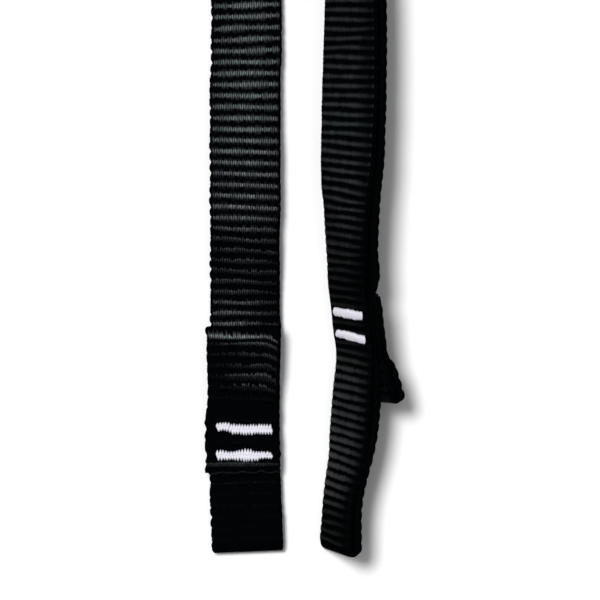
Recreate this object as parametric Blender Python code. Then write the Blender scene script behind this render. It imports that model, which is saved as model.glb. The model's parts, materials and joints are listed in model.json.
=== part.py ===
"""Daisy chain: a doubled strap of 16 mm webbing, bar-tacked into pockets, with a clip loop at each junction.

The chain lies on the floor, doubled over. Its two ends lie side by side, the first with its front
face up and the last leaning over on its lower edge with its back face up. Between them the strap
turns up on edge and runs round an open loop. Lengths are in metres, +Z is up.

A place on the chain has three numbers: s, the distance along the strap from the tip of the clip-in
eye; n, the height above the strap's middle plane, towards the front face; and a, the distance
across the strap from its centre line.
"""

import math

import bmesh
import bpy
import numpy as np
from mathutils import Matrix, Vector

# Webbing
WEB_WIDTH = 0.0160
WEB_THICKNESS = 0.0017
SEWN_THICKNESS = 0.00085
SWELL_LENGTH = 0.0120
SELVAGE_ROUND = 0.0007
LAYER_GAP = 0.0003
POCKET_SLACK = 0.0005

# Chain, from the clip-in eye to the harness eye
JUNCTIONS = 9
PITCH = 0.1120
CLIP_IN_EYE_LENGTH = 0.0252
HARNESS_EYE_LENGTH = 0.0523

# Bar tacks, two at each junction
BAR_EDGE_MARGIN = 0.0017
BAR_WIDTH = 0.0027
BAR_HEIGHT = 0.0006
BAR_CHAMFER = 0.0003
BAR_SPACING = 0.0059
STITCH_COLUMN = 0.0007
STITCH_CLEARANCE = 0.00025

# Clip loops, each a folded strip sewn to the front of a junction
LOOP_SPREAD = 0.0008
LOOP_FREE_LENGTH = 0.0204
LAST_LOOP_FREE_LENGTH = 0.0122
LOOP_BULGE = 0.0011
LOOP_ROOT_MARGIN = 0.0005
CUT_END_MARGIN = 0.0032
CUT_END_THICKNESS = 0.00060

# How far each clip loop stands off the strap, in degrees
LOOP_ANGLES = (4.5, 6.0, 12.0, 8.0, 16.0, 9.0, 14.0, 15.0, 9.0)

# Bending between the links, in degrees, and the room that it takes
FLEX_LIMIT = 60.0
HINGE_GAP = 0.0003
SEAM_MARGIN = 0.0006

# Plan of the lay-out. The legs run through (y, x) points chosen by hand
END_Y = -0.0576
NECK_Y = 0.1450
NECK_RADIUS = 0.0500
CLIP_IN_LEG = ((-0.0576, -0.0119), (-0.0400, -0.0126), (-0.0040, -0.0124), (0.0400, -0.0125), (0.1450, -0.0123))
HARNESS_LEG = (
    (-0.0576, 0.0092),
    (-0.0457, 0.0097),
    (-0.0330, 0.0119),
    (-0.0137, 0.0131),
    (-0.0015, 0.0119),
    (0.0150, 0.0114),
    (0.0320, 0.0120),
    (0.0500, 0.0125),
    (0.1450, 0.0123),
)
# Roll of the front face away from straight up, in degrees, as (y, roll) along the harness leg
HARNESS_ROLL = (
    (-0.0576, 112.0),
    (-0.0457, 111.0),
    (-0.0330, 119.0),
    (-0.0100, 118.0),
    (0.0110, 120.0),
    (0.0330, 136.0),
    (0.0620, 136.0),
    (0.1060, 112.0),
    (0.1500, 90.0),
)
# The harness leg stands on its last two clip loops and arches between them
ARCH_HEIGHT = 0.0040
PROP_MARGIN = 0.0012
# Past the second junction the strap turns up on edge
TWIST_START = 0.0280
TWIST_LENGTH = 0.0620

# How finely the webbing is divided
STEP_STRAIGHT = 0.0100
STEP_BEND = 0.0072
STEP_TWIST = 0.0045
ROUTE_STEP = 0.0005
FOLD_STEPS = 5
SHARP_ANGLE = 35.0

BAR_LENGTH = WEB_WIDTH - 2 * BAR_EDGE_MARGIN
LOOP_WIDTH = WEB_WIDTH + LOOP_SPREAD
SEWN_PAIR = 2 * SEWN_THICKNESS + LAYER_GAP
BAR_REACH = (BAR_SPACING + BAR_WIDTH) / 2
BASE_TAIL = BAR_REACH + CUT_END_MARGIN
BASE_HEAD = BAR_REACH + LOOP_ROOT_MARGIN
LOOP_PLANE = SEWN_PAIR + LAYER_GAP
LOOP_AXIS = BASE_HEAD + LAYER_GAP + SEWN_PAIR / 2
LOOP_TIP = LOOP_AXIS + LOOP_FREE_LENGTH
STACK_TOP = LOOP_PLANE + SEWN_PAIR / 2
FLEX_SLOPE = math.tan(math.radians(FLEX_LIMIT) / 2)
EYE_MARGIN = HINGE_GAP / 2 + SEWN_PAIR / 2 * FLEX_SLOPE + SEAM_MARGIN
FLAT_HEIGHT = (LAYER_GAP + POCKET_SLACK) / 2 + WEB_THICKNESS
EDGE_HEIGHT = LOOP_WIDTH / 2
CHAIN_LENGTH = CLIP_IN_EYE_LENGTH + (JUNCTIONS - 1) * PITCH + HARNESS_EYE_LENGTH
MIDDLE = (JUNCTIONS + 1) // 2

# The eight corners of a webbing section: across, along its thickness, and which ones are drawn in
CORNER_ACROSS = np.array([-1, -1, -1, 1, 1, 1, 1, -1])
CORNER_LEVEL = np.array([-1, 1, 1, 1, 1, -1, -1, -1])
CORNER_INSET = np.array([0, 0, 1, 1, 0, 0, 1, 1])
LOWER_SIDE = 6


def clear_scene():
    """Removes the objects that the scene starts with."""
    for obj in list(bpy.data.objects):
        bpy.data.objects.remove(obj)


def through(points, at):
    """A smooth curve through (x, y) points, a cubic between each two with a slope shared at each."""
    x, y = np.array(points).T
    slope = np.gradient(y, x)
    i = np.clip(np.searchsorted(x, at) - 1, 0, len(x) - 2)
    span = x[i + 1] - x[i]
    t = np.clip((at - x[i]) / span, 0, 1)
    left = y[i] * (1 + 2 * t) + slope[i] * span * t
    right = y[i + 1] * (3 - 2 * t) - slope[i + 1] * span * (1 - t)
    return left * (1 - t) ** 2 + right * t**2


def ease(t):
    """Goes from 0 to 1 with a soft start and end."""
    t = np.clip(t, 0, 1)
    return t * t * (3 - 2 * t)


def unit(rows):
    """Each row scaled to length 1."""
    return rows / np.linalg.norm(rows, axis=1)[:, None]


def junction_s(number):
    """Distance along the strap of a junction's centre, counted from 1."""
    return CLIP_IN_EYE_LENGTH + (number - 1) * PITCH


def loop_angle(number):
    """How far a junction's clip loop stands off the strap, in degrees."""
    return LOOP_ANGLES[(number - 1) % len(LOOP_ANGLES)]


def resting_height(roll):
    """Height of the centre line where the strap lies on the floor at a roll in radians."""
    return FLAT_HEIGHT * np.abs(np.cos(roll)) + EDGE_HEIGHT * np.sin(roll)


def loop_length(number):
    """Length of a clip loop's free part."""
    return LAST_LOOP_FREE_LENGTH if number == JUNCTIONS else LOOP_FREE_LENGTH


def propped_height(roll, number):
    """Height of the centre line where a clip loop under the strap stands on the floor with its tip."""
    lean = math.radians(loop_angle(number))
    loop_back = LAYER_GAP / 2 + LOOP_BULGE + WEB_THICKNESS
    depth = LOOP_PLANE + loop_length(number) * math.sin(lean) + loop_back * math.cos(lean)
    return depth * abs(math.cos(roll)) + EDGE_HEIGHT * math.sin(roll) + PROP_MARGIN


def plan_points(radius):
    """The route seen from above, from the clip-in end round the loop to the harness end."""
    leg_y = np.arange(END_Y, NECK_Y, ROUTE_STEP)
    left = np.column_stack([through(CLIP_IN_LEG, leg_y), leg_y])
    right = np.column_stack([through(HARNESS_LEG, leg_y), leg_y])[::-1]
    left_x, right_x = CLIP_IN_LEG[-1][1], HARNESS_LEG[-1][1]
    middle, half = (left_x + right_x) / 2, (right_x - left_x) / 2
    lean = math.acos((NECK_RADIUS + half) / (NECK_RADIUS + radius))
    turn = np.arange(0, lean, ROUTE_STEP / NECK_RADIUS)
    neck = np.column_stack([left_x - NECK_RADIUS * (1 - np.cos(turn)), NECK_Y + NECK_RADIUS * np.sin(turn)])
    centre_y = NECK_Y + (NECK_RADIUS + radius) * math.sin(lean)
    sweep = np.arange(math.pi + lean, -lean, -ROUTE_STEP / radius)
    loop = np.column_stack([middle + radius * np.cos(sweep), centre_y + radius * np.sin(sweep)])
    back_neck = np.column_stack([2 * middle - neck[::-1, 0], neck[::-1, 1]])
    return np.vstack([left, neck, loop, back_neck, right])


def lengths(points):
    """Distance along a line of points."""
    steps = np.linalg.norm(np.diff(points, axis=0), axis=1)
    return np.concatenate([[0], np.cumsum(steps)])


class Route:
    """The strap's centre line and how it turns, which every piece follows."""

    def __init__(self, radius):
        plan = plan_points(radius)
        self.s = lengths(plan)
        roll = self.rolls(plan)
        from_end = self.s - self.s[-1]
        lift = through(self.lift_points(from_end, roll), from_end)
        height = resting_height(roll) + np.maximum(lift, 0)
        self.centre = np.column_stack([plan, height])
        self.s = lengths(self.centre)
        self.ahead = unit(np.gradient(self.centre, self.s, axis=0))
        level = np.column_stack([-self.ahead[:, 1], self.ahead[:, 0], np.zeros(len(plan))])
        front = unit(level) * np.sin(roll)[:, None] + np.array([0, 0, 1]) * np.cos(roll)[:, None]
        lean = (front * self.ahead).sum(axis=1)[:, None] * self.ahead
        self.front = unit(front - lean)
        self.across = np.cross(self.ahead, self.front)

    def rolls(self, plan):
        """Roll of the front face from straight up at each plan point, in radians."""
        twist = ease((self.s - junction_s(2) - TWIST_START) / TWIST_LENGTH)
        by_y = through(HARNESS_ROLL, plan[:, 1])
        on_harness_leg = (self.s > self.s[-1] / 2) & (plan[:, 1] < HARNESS_ROLL[-1][0])
        return np.radians(np.where(on_harness_leg, by_y, 90.0 * twist))

    @staticmethod
    def lift_points(from_end, roll):
        """How far the harness leg is held up off the floor, as (distance from the end, lift)."""
        hinges = [junction_s(JUNCTIONS + back) + LOOP_AXIS - CHAIN_LENGTH for back in (-2, -1, 0)]
        lifts = [0.0]
        for number, place in zip((JUNCTIONS - 1, JUNCTIONS), hinges[1:]):
            here = np.interp(place, from_end, roll)
            lifts.append(propped_height(here, number) - resting_height(here))
        arch = ((hinges[1] + hinges[2]) / 2, (lifts[1] + lifts[2]) / 2 + ARCH_HEIGHT)
        start, near, last = zip(hinges, lifts)
        return [(-CHAIN_LENGTH, 0.0), start, near, arch, last, (0.0, 0.0)]

    def rows(self, table, s):
        """A table of vectors along the route, read at distances s."""
        return np.column_stack([np.interp(s, self.s, table[:, axis]) for axis in range(3)])

    def place(self, s, n, a):
        """World points of chain places, given as three arrays."""
        across = self.rows(self.across, s) * np.asarray(a)[:, None]
        return self.rows(self.centre, s) + self.rows(self.front, s) * np.asarray(n)[:, None] + across

    def frame(self, s, n=0.0, side=1):
        """A 4x4 matrix at one chain place: Y to the front face, X along the strap to one side.

        Turning about its Z by a positive angle lifts what lies on that side towards the front.
        """
        ahead = Vector(self.rows(self.ahead, [s])[0]).normalized() * side
        front = Vector(self.rows(self.front, [s])[0]).normalized()
        matrix = Matrix((ahead, front, ahead.cross(front))).transposed().to_4x4()
        matrix.translation = Vector(self.place([s], [n], [0.0])[0])
        return matrix


def fitted_route():
    """The route whose loop is just large enough for the whole chain."""
    small, large = 0.030, 0.400
    for _ in range(40):
        radius = (small + large) / 2
        if Route(radius).s[-1] < CHAIN_LENGTH:
            small = radius
        else:
            large = radius
    return Route(large)


def material(name, colour, roughness):
    """A plain surface of one colour."""
    made = bpy.data.materials.new(name)
    made.use_nodes = True
    shader = made.node_tree.nodes["Principled BSDF"]
    shader.inputs["Base Color"].default_value = (*colour, 1.0)
    shader.inputs["Roughness"].default_value = roughness
    shader.inputs["Metallic"].default_value = 0.0
    return made


def webbing_rings(path, half, width):
    """Rings of eight corners along a path, as arrays of distance along, height and distance across.

    path is points of (along, height), half is half the thickness at each. The two selvages are rounded.
    """
    slope = unit(np.gradient(path, axis=0))
    edge = np.minimum(half * 0.55, SELVAGE_ROUND)
    across = CORNER_ACROSS * (width / 2 - CORNER_INSET * SELVAGE_ROUND)
    level = CORNER_LEVEL * (half[:, None] - (1 - CORNER_INSET) * edge[:, None])
    along = path[:, :1] - slope[:, 1:] * level
    height = path[:, 1:] + slope[:, :1] * level
    return along, height, np.tile(across, (len(path), 1))


def ring_faces(count):
    """Triangles round a run of rings, and its two ends. Both wide sides are split the same way."""
    faces = []
    for ring in range(count - 1):
        for corner in range(8):
            here, there = ring * 8 + corner, ring * 8 + (corner + 1) % 8
            if corner == LOWER_SIDE:
                faces += [(here, there, here + 8), (there, there + 8, here + 8)]
            else:
                faces += [(here, there, there + 8), (here, there + 8, here + 8)]
    last = (count - 1) * 8
    faces.append(tuple(range(7, -1, -1)))
    faces.append(tuple(range(last, last + 8)))
    return faces


class Workshop:
    """Holds the route, the materials and the hinge empties while the pieces are made."""

    def __init__(self, route):
        self.route = route
        self.webbing = material("black_webbing", (0.012, 0.013, 0.015), 0.62)
        self.thread = material("white_thread", (0.82, 0.81, 0.88), 0.55)
        self.pivots = {}
        self.low = np.full(3, np.inf)
        self.high = np.full(3, -np.inf)

    def pivot(self, name, world, parent=None):
        """An empty that carries one body, with its Z on the axis that the body turns about."""
        empty = bpy.data.objects.new(name, None)
        empty.empty_display_size = WEB_WIDTH / 2
        bpy.context.scene.collection.objects.link(empty)
        if parent:
            holder, holder_world = self.pivots[parent]
            empty.parent = holder
            empty.matrix_basis = holder_world.inverted() @ world
        else:
            empty.matrix_basis = world
        self.pivots[name] = (empty, world)

    def solid(self, name, points, faces, pivot, surface):
        """One mesh object from world points, hung on its body's empty."""
        empty, world = self.pivots[pivot]
        self.low = np.minimum(self.low, points.min(axis=0))
        self.high = np.maximum(self.high, points.max(axis=0))
        turn = np.array(world.inverted())
        local = points @ turn[:3, :3].T + turn[:3, 3]
        mesh = bpy.data.meshes.new(name)
        mesh.from_pydata(local.tolist(), [], faces)
        work = bmesh.new()
        work.from_mesh(mesh)
        bmesh.ops.recalc_face_normals(work, faces=work.faces)
        work.to_mesh(mesh)
        work.free()
        mesh.shade_smooth()
        mesh.set_sharp_from_angle(angle=math.radians(SHARP_ANGLE))
        mesh.materials.append(surface)
        obj = bpy.data.objects.new(name, mesh)
        obj.parent = empty
        bpy.context.scene.collection.objects.link(obj)
        return obj

    def ribbon(self, name, path, half, width, pivot, ends=None):
        """Webbing along a path of (s, n) points. ends gives, for each cut end, its hinge and side.

        An end at a hinge is cut back with its height above the hinge, so that it can bend.
        """
        along, height, across = webbing_rings(np.asarray(path), half, width)
        for ring, (axis, side) in zip((0, -1), ends or ()):
            along[ring] = axis + side * (HINGE_GAP / 2 + np.abs(height[ring]) * FLEX_SLOPE)
        points = self.route.place(along.ravel(), height.ravel(), across.ravel())
        return self.solid(name, points, ring_faces(len(along)), pivot, self.webbing)

    def stand_at_origin(self):
        """Moves the whole chain so that the origin is under the middle of its box."""
        middle = (self.low + self.high) / 2
        empty, world = self.pivots[f"link_{MIDDLE}"]
        empty.matrix_basis = Matrix.Translation((-middle[0], -middle[1], -self.low[2])) @ world


def layer_at(s):
    """Height of the front layer's middle, and half its thickness, at distances s.

    The layers are squeezed together at a junction and full a little way off it. Past the clip
    loop's fold they stand apart by the pocket's slack, until the next junction.
    """
    number = np.clip(np.round((s - CLIP_IN_EYE_LENGTH) / PITCH), 0, JUNCTIONS - 1)
    off = s - CLIP_IN_EYE_LENGTH - number * PITCH
    swell = ease((np.abs(off) - BAR_REACH) / SWELL_LENGTH)
    ahead = ease((off - LOOP_TIP) / (WEB_WIDTH * 0.9))
    behind = ease((-off - BASE_TAIL) / (WEB_WIDTH * 1.8))
    slack = POCKET_SLACK / 2 * np.where(off > 0, ahead, behind)
    half = (SEWN_THICKNESS + (WEB_THICKNESS - SEWN_THICKNESS) * swell) / 2
    return LAYER_GAP / 2 + slack + half, half


def spaced(start, end, step):
    """Distances from start to end, evenly spaced and no more than step apart."""
    return np.linspace(start, end, max(2, math.ceil((end - start) / step) + 1))


def link_ends(number):
    """Where a link's webbing starts and ends: at its bending lines."""
    centre = junction_s(number)
    start = centre - (BASE_TAIL + EYE_MARGIN if number == 1 else PITCH / 2)
    end = centre + (BASE_HEAD + EYE_MARGIN if number == JUNCTIONS else PITCH / 2)
    return start, end


def add_pivots(shop):
    """The empties of all bodies: a tree from the middle link outwards, with eyes and clip loops."""
    shop.pivot(f"link_{MIDDLE}", shop.route.frame(junction_s(MIDDLE)))
    for number in range(MIDDLE - 1, 0, -1):
        frame = shop.route.frame(link_ends(number)[1], side=-1)
        shop.pivot(f"link_{number}", frame, f"link_{number + 1}")
    for number in range(MIDDLE + 1, JUNCTIONS + 1):
        frame = shop.route.frame(link_ends(number)[0])
        shop.pivot(f"link_{number}", frame, f"link_{number - 1}")
    for number in range(1, JUNCTIONS + 1):
        frame = shop.route.frame(junction_s(number) + LOOP_AXIS, LOOP_PLANE)
        shop.pivot(f"loop_{number}", frame, f"link_{number}")
    shop.pivot("eye_1", shop.route.frame(link_ends(1)[0], side=-1), "link_1")
    shop.pivot("eye_2", shop.route.frame(link_ends(JUNCTIONS)[1]), f"link_{JUNCTIONS}")


def add_straps(shop, number):
    """The front and back straps of one link, from one bending line to the next."""
    start, end = link_ends(number)
    centre = junction_s(number)
    step = {1: STEP_STRAIGHT, 2: STEP_TWIST, 3: STEP_TWIST}.get(number, STEP_BEND)
    stops = np.concatenate([
        spaced(start, centre - BASE_TAIL, step),
        [centre - BAR_REACH, centre + BAR_REACH],
        spaced(centre + BASE_HEAD, end, step),
    ])
    middle, half = layer_at(stops)
    ends = ((start, 1), (end, -1))
    pieces = []
    for name, side in (("front_strap", 1), ("back_strap", -1)):
        path = np.column_stack([stops, side * middle])
        pieces.append(shop.ribbon(f"{name}_{number}", path, half, WEB_WIDTH, f"link_{number}", ends))
    return pieces


def fold(centre, radius, turn_from, turn_to):
    """Points round a fold, as (along, height), at evenly spaced angles in degrees."""
    angles = np.radians(np.linspace(turn_from, turn_to, FOLD_STEPS + 1))
    return np.column_stack([centre[0] + radius * np.cos(angles), centre[1] + radius * np.sin(angles)])


def add_loop_base(shop, number):
    """The sewn root of a clip loop: its two legs, thinned to their cut ends and sealed together there."""
    centre = junction_s(number)
    lift = (SEWN_THICKNESS + LAYER_GAP) / 2
    tail, head = centre - BASE_TAIL, centre + BASE_HEAD
    sealed_lift = (CUT_END_THICKNESS + LAYER_GAP) / 2
    sealed_plane = LOOP_PLANE - SEWN_PAIR / 2 + CUT_END_THICKNESS / 2 + sealed_lift
    turn = fold((tail + sealed_lift + CUT_END_THICKNESS / 2, sealed_plane), sealed_lift, 90, 270)
    outer = [(head, LOOP_PLANE + lift), (centre, LOOP_PLANE + lift), (centre - BAR_REACH, LOOP_PLANE + lift)]
    inner = [(s, LOOP_PLANE - lift) for s, _ in reversed(outer)]
    path = np.vstack([outer, turn, inner])
    sewn = np.full(len(outer), SEWN_THICKNESS / 2)
    half = np.concatenate([sewn, np.full(len(turn), CUT_END_THICKNESS / 2), sewn])
    return shop.ribbon(f"loop_base_{number}", path, half, LOOP_WIDTH, f"link_{number}")


def loop_profile(length):
    """A clip loop of one free length seen from its edge, as (along, height) from its hinge, and half its thickness.

    The inner leg runs straight out, turns back in a round fold, and the outer leg returns over a
    slight bulge to the root.
    """
    full = WEB_THICKNESS / 2
    inner_height = full - SEWN_PAIR / 2
    outer_height = LAYER_GAP / 2 + LOOP_BULGE + full
    radius = (outer_height - inner_height) / 2
    reach = length - radius - full
    out = np.array([0, 0.25, 0.5, 1.0]) * reach
    half = (SEWN_THICKNESS + (WEB_THICKNESS - SEWN_THICKNESS) * ease(out / SWELL_LENGTH)) / 2
    inner = np.column_stack([out, half - SEWN_PAIR / 2])
    outer = np.column_stack([out, LAYER_GAP / 2 + half + LOOP_BULGE * ease(out / reach)])[::-1]
    turn = fold((reach, inner_height + radius), radius, -90, 90)[1:-1]
    return np.vstack([inner, turn, outer]), np.concatenate([half, np.full(len(turn), full), half[::-1]])


def add_clip_loop(shop, number):
    """The free part of a clip loop, which turns about the edge of its root.

    Its cut ends run to a blunt point, so that it clears its root and the strap at every angle.
    """
    along, height, across = webbing_rings(*loop_profile(loop_length(number)), LOOP_WIDTH)
    for ring in (0, -1):
        along[ring] = np.abs(height[ring]) - SEWN_PAIR / 2
    lean = math.radians(loop_angle(number))
    turned_along = along * math.cos(lean) - height * math.sin(lean)
    turned_height = along * math.sin(lean) + height * math.cos(lean)
    place = np.array(shop.route.frame(junction_s(number) + LOOP_AXIS, LOOP_PLANE))
    local = np.column_stack([turned_along.ravel(), turned_height.ravel(), across.ravel()])
    points = local @ place[:3, :3].T + place[:3, 3]
    return shop.solid(f"clip_loop_{number}", points, ring_faces(len(along)), f"loop_{number}", shop.webbing)


def bar_frames(shop, number):
    """The frames of a junction's two bar tacks, rear and fore."""
    centre = junction_s(number)
    return [shop.route.frame(centre + side * BAR_SPACING / 2) for side in (-1, 1)]


def add_bar_tack(shop, name, frame, pivot):
    """One bar tack: a bar of thread on the front, one on the back, and two columns of stitches between.

    The bars' inner faces are grids whose middle cells are left open where the columns join them.
    """
    column = STITCH_COLUMN / 2
    post = BAR_LENGTH / 3
    lines_a = (-BAR_LENGTH / 2, -post - column, -post + column, post - column, post + column, BAR_LENGTH / 2)
    lines_s = (-BAR_WIDTH / 2, -column, column, BAR_WIDTH / 2)
    inner = (STACK_TOP + LAYER_GAP, -SEWN_PAIR / 2 - LAYER_GAP)
    outer = (inner[0] + BAR_HEIGHT, inner[1] - BAR_HEIGHT)
    verts = [(s, n, a) for n in inner for a in lines_a for s in lines_s]
    rows, cols = len(lines_a), len(lines_s)
    corners = ((-1, -1), (-1, 1), (1, 1), (1, -1))
    long, wide = BAR_LENGTH / 2 - BAR_CHAMFER, BAR_WIDTH / 2 - BAR_CHAMFER
    verts += [(wide * s, n, long * a) for n in outer for a, s in corners]
    faces = []
    openings = ((1, 1), (3, 1))

    def at(side, i, j):
        return side * rows * cols + i * cols + j

    for side in (0, 1):
        cells = [(i, j) for i in range(rows - 1) for j in range(cols - 1) if (i, j) not in openings]
        faces += [(at(side, i, j), at(side, i + 1, j), at(side, i + 1, j + 1), at(side, i, j + 1)) for i, j in cells]
        cap = [2 * rows * cols + side * 4 + k for k in range(4)]
        faces.append(tuple(cap))
        faces.append((*(at(side, 0, j) for j in range(cols)), cap[1], cap[0]))
        faces.append((*(at(side, i, cols - 1) for i in range(rows)), cap[2], cap[1]))
        faces.append((*(at(side, rows - 1, j) for j in reversed(range(cols))), cap[3], cap[2]))
        faces.append((*(at(side, i, 0) for i in reversed(range(rows))), cap[0], cap[3]))
    for i, j in openings:
        ring = ((i, j), (i + 1, j), (i + 1, j + 1), (i, j + 1))
        for here, there in zip(ring, ring[1:] + ring[:1]):
            faces.append((at(0, *here), at(0, *there), at(1, *there), at(1, *here)))
    turn = np.array(frame)
    points = np.array(verts) @ turn[:3, :3].T + turn[:3, 3]
    return shop.solid(name, points, faces, pivot, shop.thread)


def add_stitch_holes(shop, number):
    """Four square columns that cut the stitch holes of a junction through its layers."""
    reach = STITCH_COLUMN / 2 + STITCH_CLEARANCE
    low, high = -SEWN_PAIR / 2 - LAYER_GAP, STACK_TOP + LAYER_GAP
    empty, world = shop.pivots[f"link_{number}"]
    work = bmesh.new()
    for frame in bar_frames(shop, number):
        for side in (-1, 1):
            size = Matrix.Diagonal((2 * reach, high - low, 2 * reach, 1))
            place = Matrix.Translation((0, (low + high) / 2, side * BAR_LENGTH / 3))
            bmesh.ops.create_cube(work, size=1, matrix=world.inverted() @ frame @ place @ size)
    mesh = bpy.data.meshes.new(f"stitch_holes_{number}")
    work.to_mesh(mesh)
    work.free()
    cutter = bpy.data.objects.new(f"stitch_holes_{number}", mesh)
    cutter.parent = empty
    cutter.hide_render = True
    cutter.display_type = "WIRE"
    bpy.context.scene.collection.objects.link(cutter)
    return cutter


def cut(piece, cutter):
    """Cuts the cutter's shape out of a piece."""
    hole = piece.modifiers.new("stitch_holes", "BOOLEAN")
    hole.operation = "DIFFERENCE"
    hole.solver = "EXACT"
    hole.object = cutter


def add_eye(shop, name, pivot, hinge, tip):
    """An end eye: the strap folded back on itself, from its bending line round the fold and back."""
    side = 1 if tip > hinge else -1
    full = WEB_THICKNESS / 2
    radius = (LAYER_GAP + POCKET_SLACK) / 2 + full
    out = spaced(0, abs(tip - hinge) - radius - full, STEP_BEND)
    root_height, root_half = layer_at(np.array([hinge]))
    grow = ease(out / SWELL_LENGTH)
    half = root_half + (full - root_half) * grow
    height = root_height + (radius - root_height) * grow
    front = np.column_stack([out, height])
    back = np.column_stack([out, -height])[::-1]
    turn = fold((out[-1], 0), radius, 90, -90)[1:-1]
    path = np.vstack([front, turn, back]) * (side, 1) + (hinge, 0)
    halves = np.concatenate([half, np.full(len(turn), full), half[::-1]])
    return shop.ribbon(name, path, halves, WEB_WIDTH, pivot, ((hinge, side), (hinge, side)))


def main():
    """Builds the whole chain."""
    clear_scene()
    shop = Workshop(fitted_route())
    add_pivots(shop)
    for number in range(1, JUNCTIONS + 1):
        cutter = add_stitch_holes(shop, number)
        for piece in (*add_straps(shop, number), add_loop_base(shop, number)):
            cut(piece, cutter)
        add_clip_loop(shop, number)
        for name, frame in zip(("rear_bar_tack", "fore_bar_tack"), bar_frames(shop, number)):
            add_bar_tack(shop, f"{name}_{number}", frame, f"link_{number}")
    add_eye(shop, "clip_in_eye", "eye_1", link_ends(1)[0], 0.0)
    add_eye(shop, "harness_eye", "eye_2", link_ends(JUNCTIONS)[1], CHAIN_LENGTH)
    shop.stand_at_origin()


main()
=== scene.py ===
"""Looks of the daisy chain: woven black webbing and white bar tacks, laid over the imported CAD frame.

Every strip of webbing is a closed mesh with its ribs and knobbly selvages in it, swept along the
same route as the CAD source. A place on the chain has three numbers: s, the distance along the
strap from the tip of the clip-in eye; n, the height above the strap's middle plane, towards the
front face; and a, the distance across the strap from its centre line. Lengths are in metres.
"""

import json
import logging
import math
from dataclasses import dataclass
from enum import Enum, IntEnum
from types import SimpleNamespace

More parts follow.
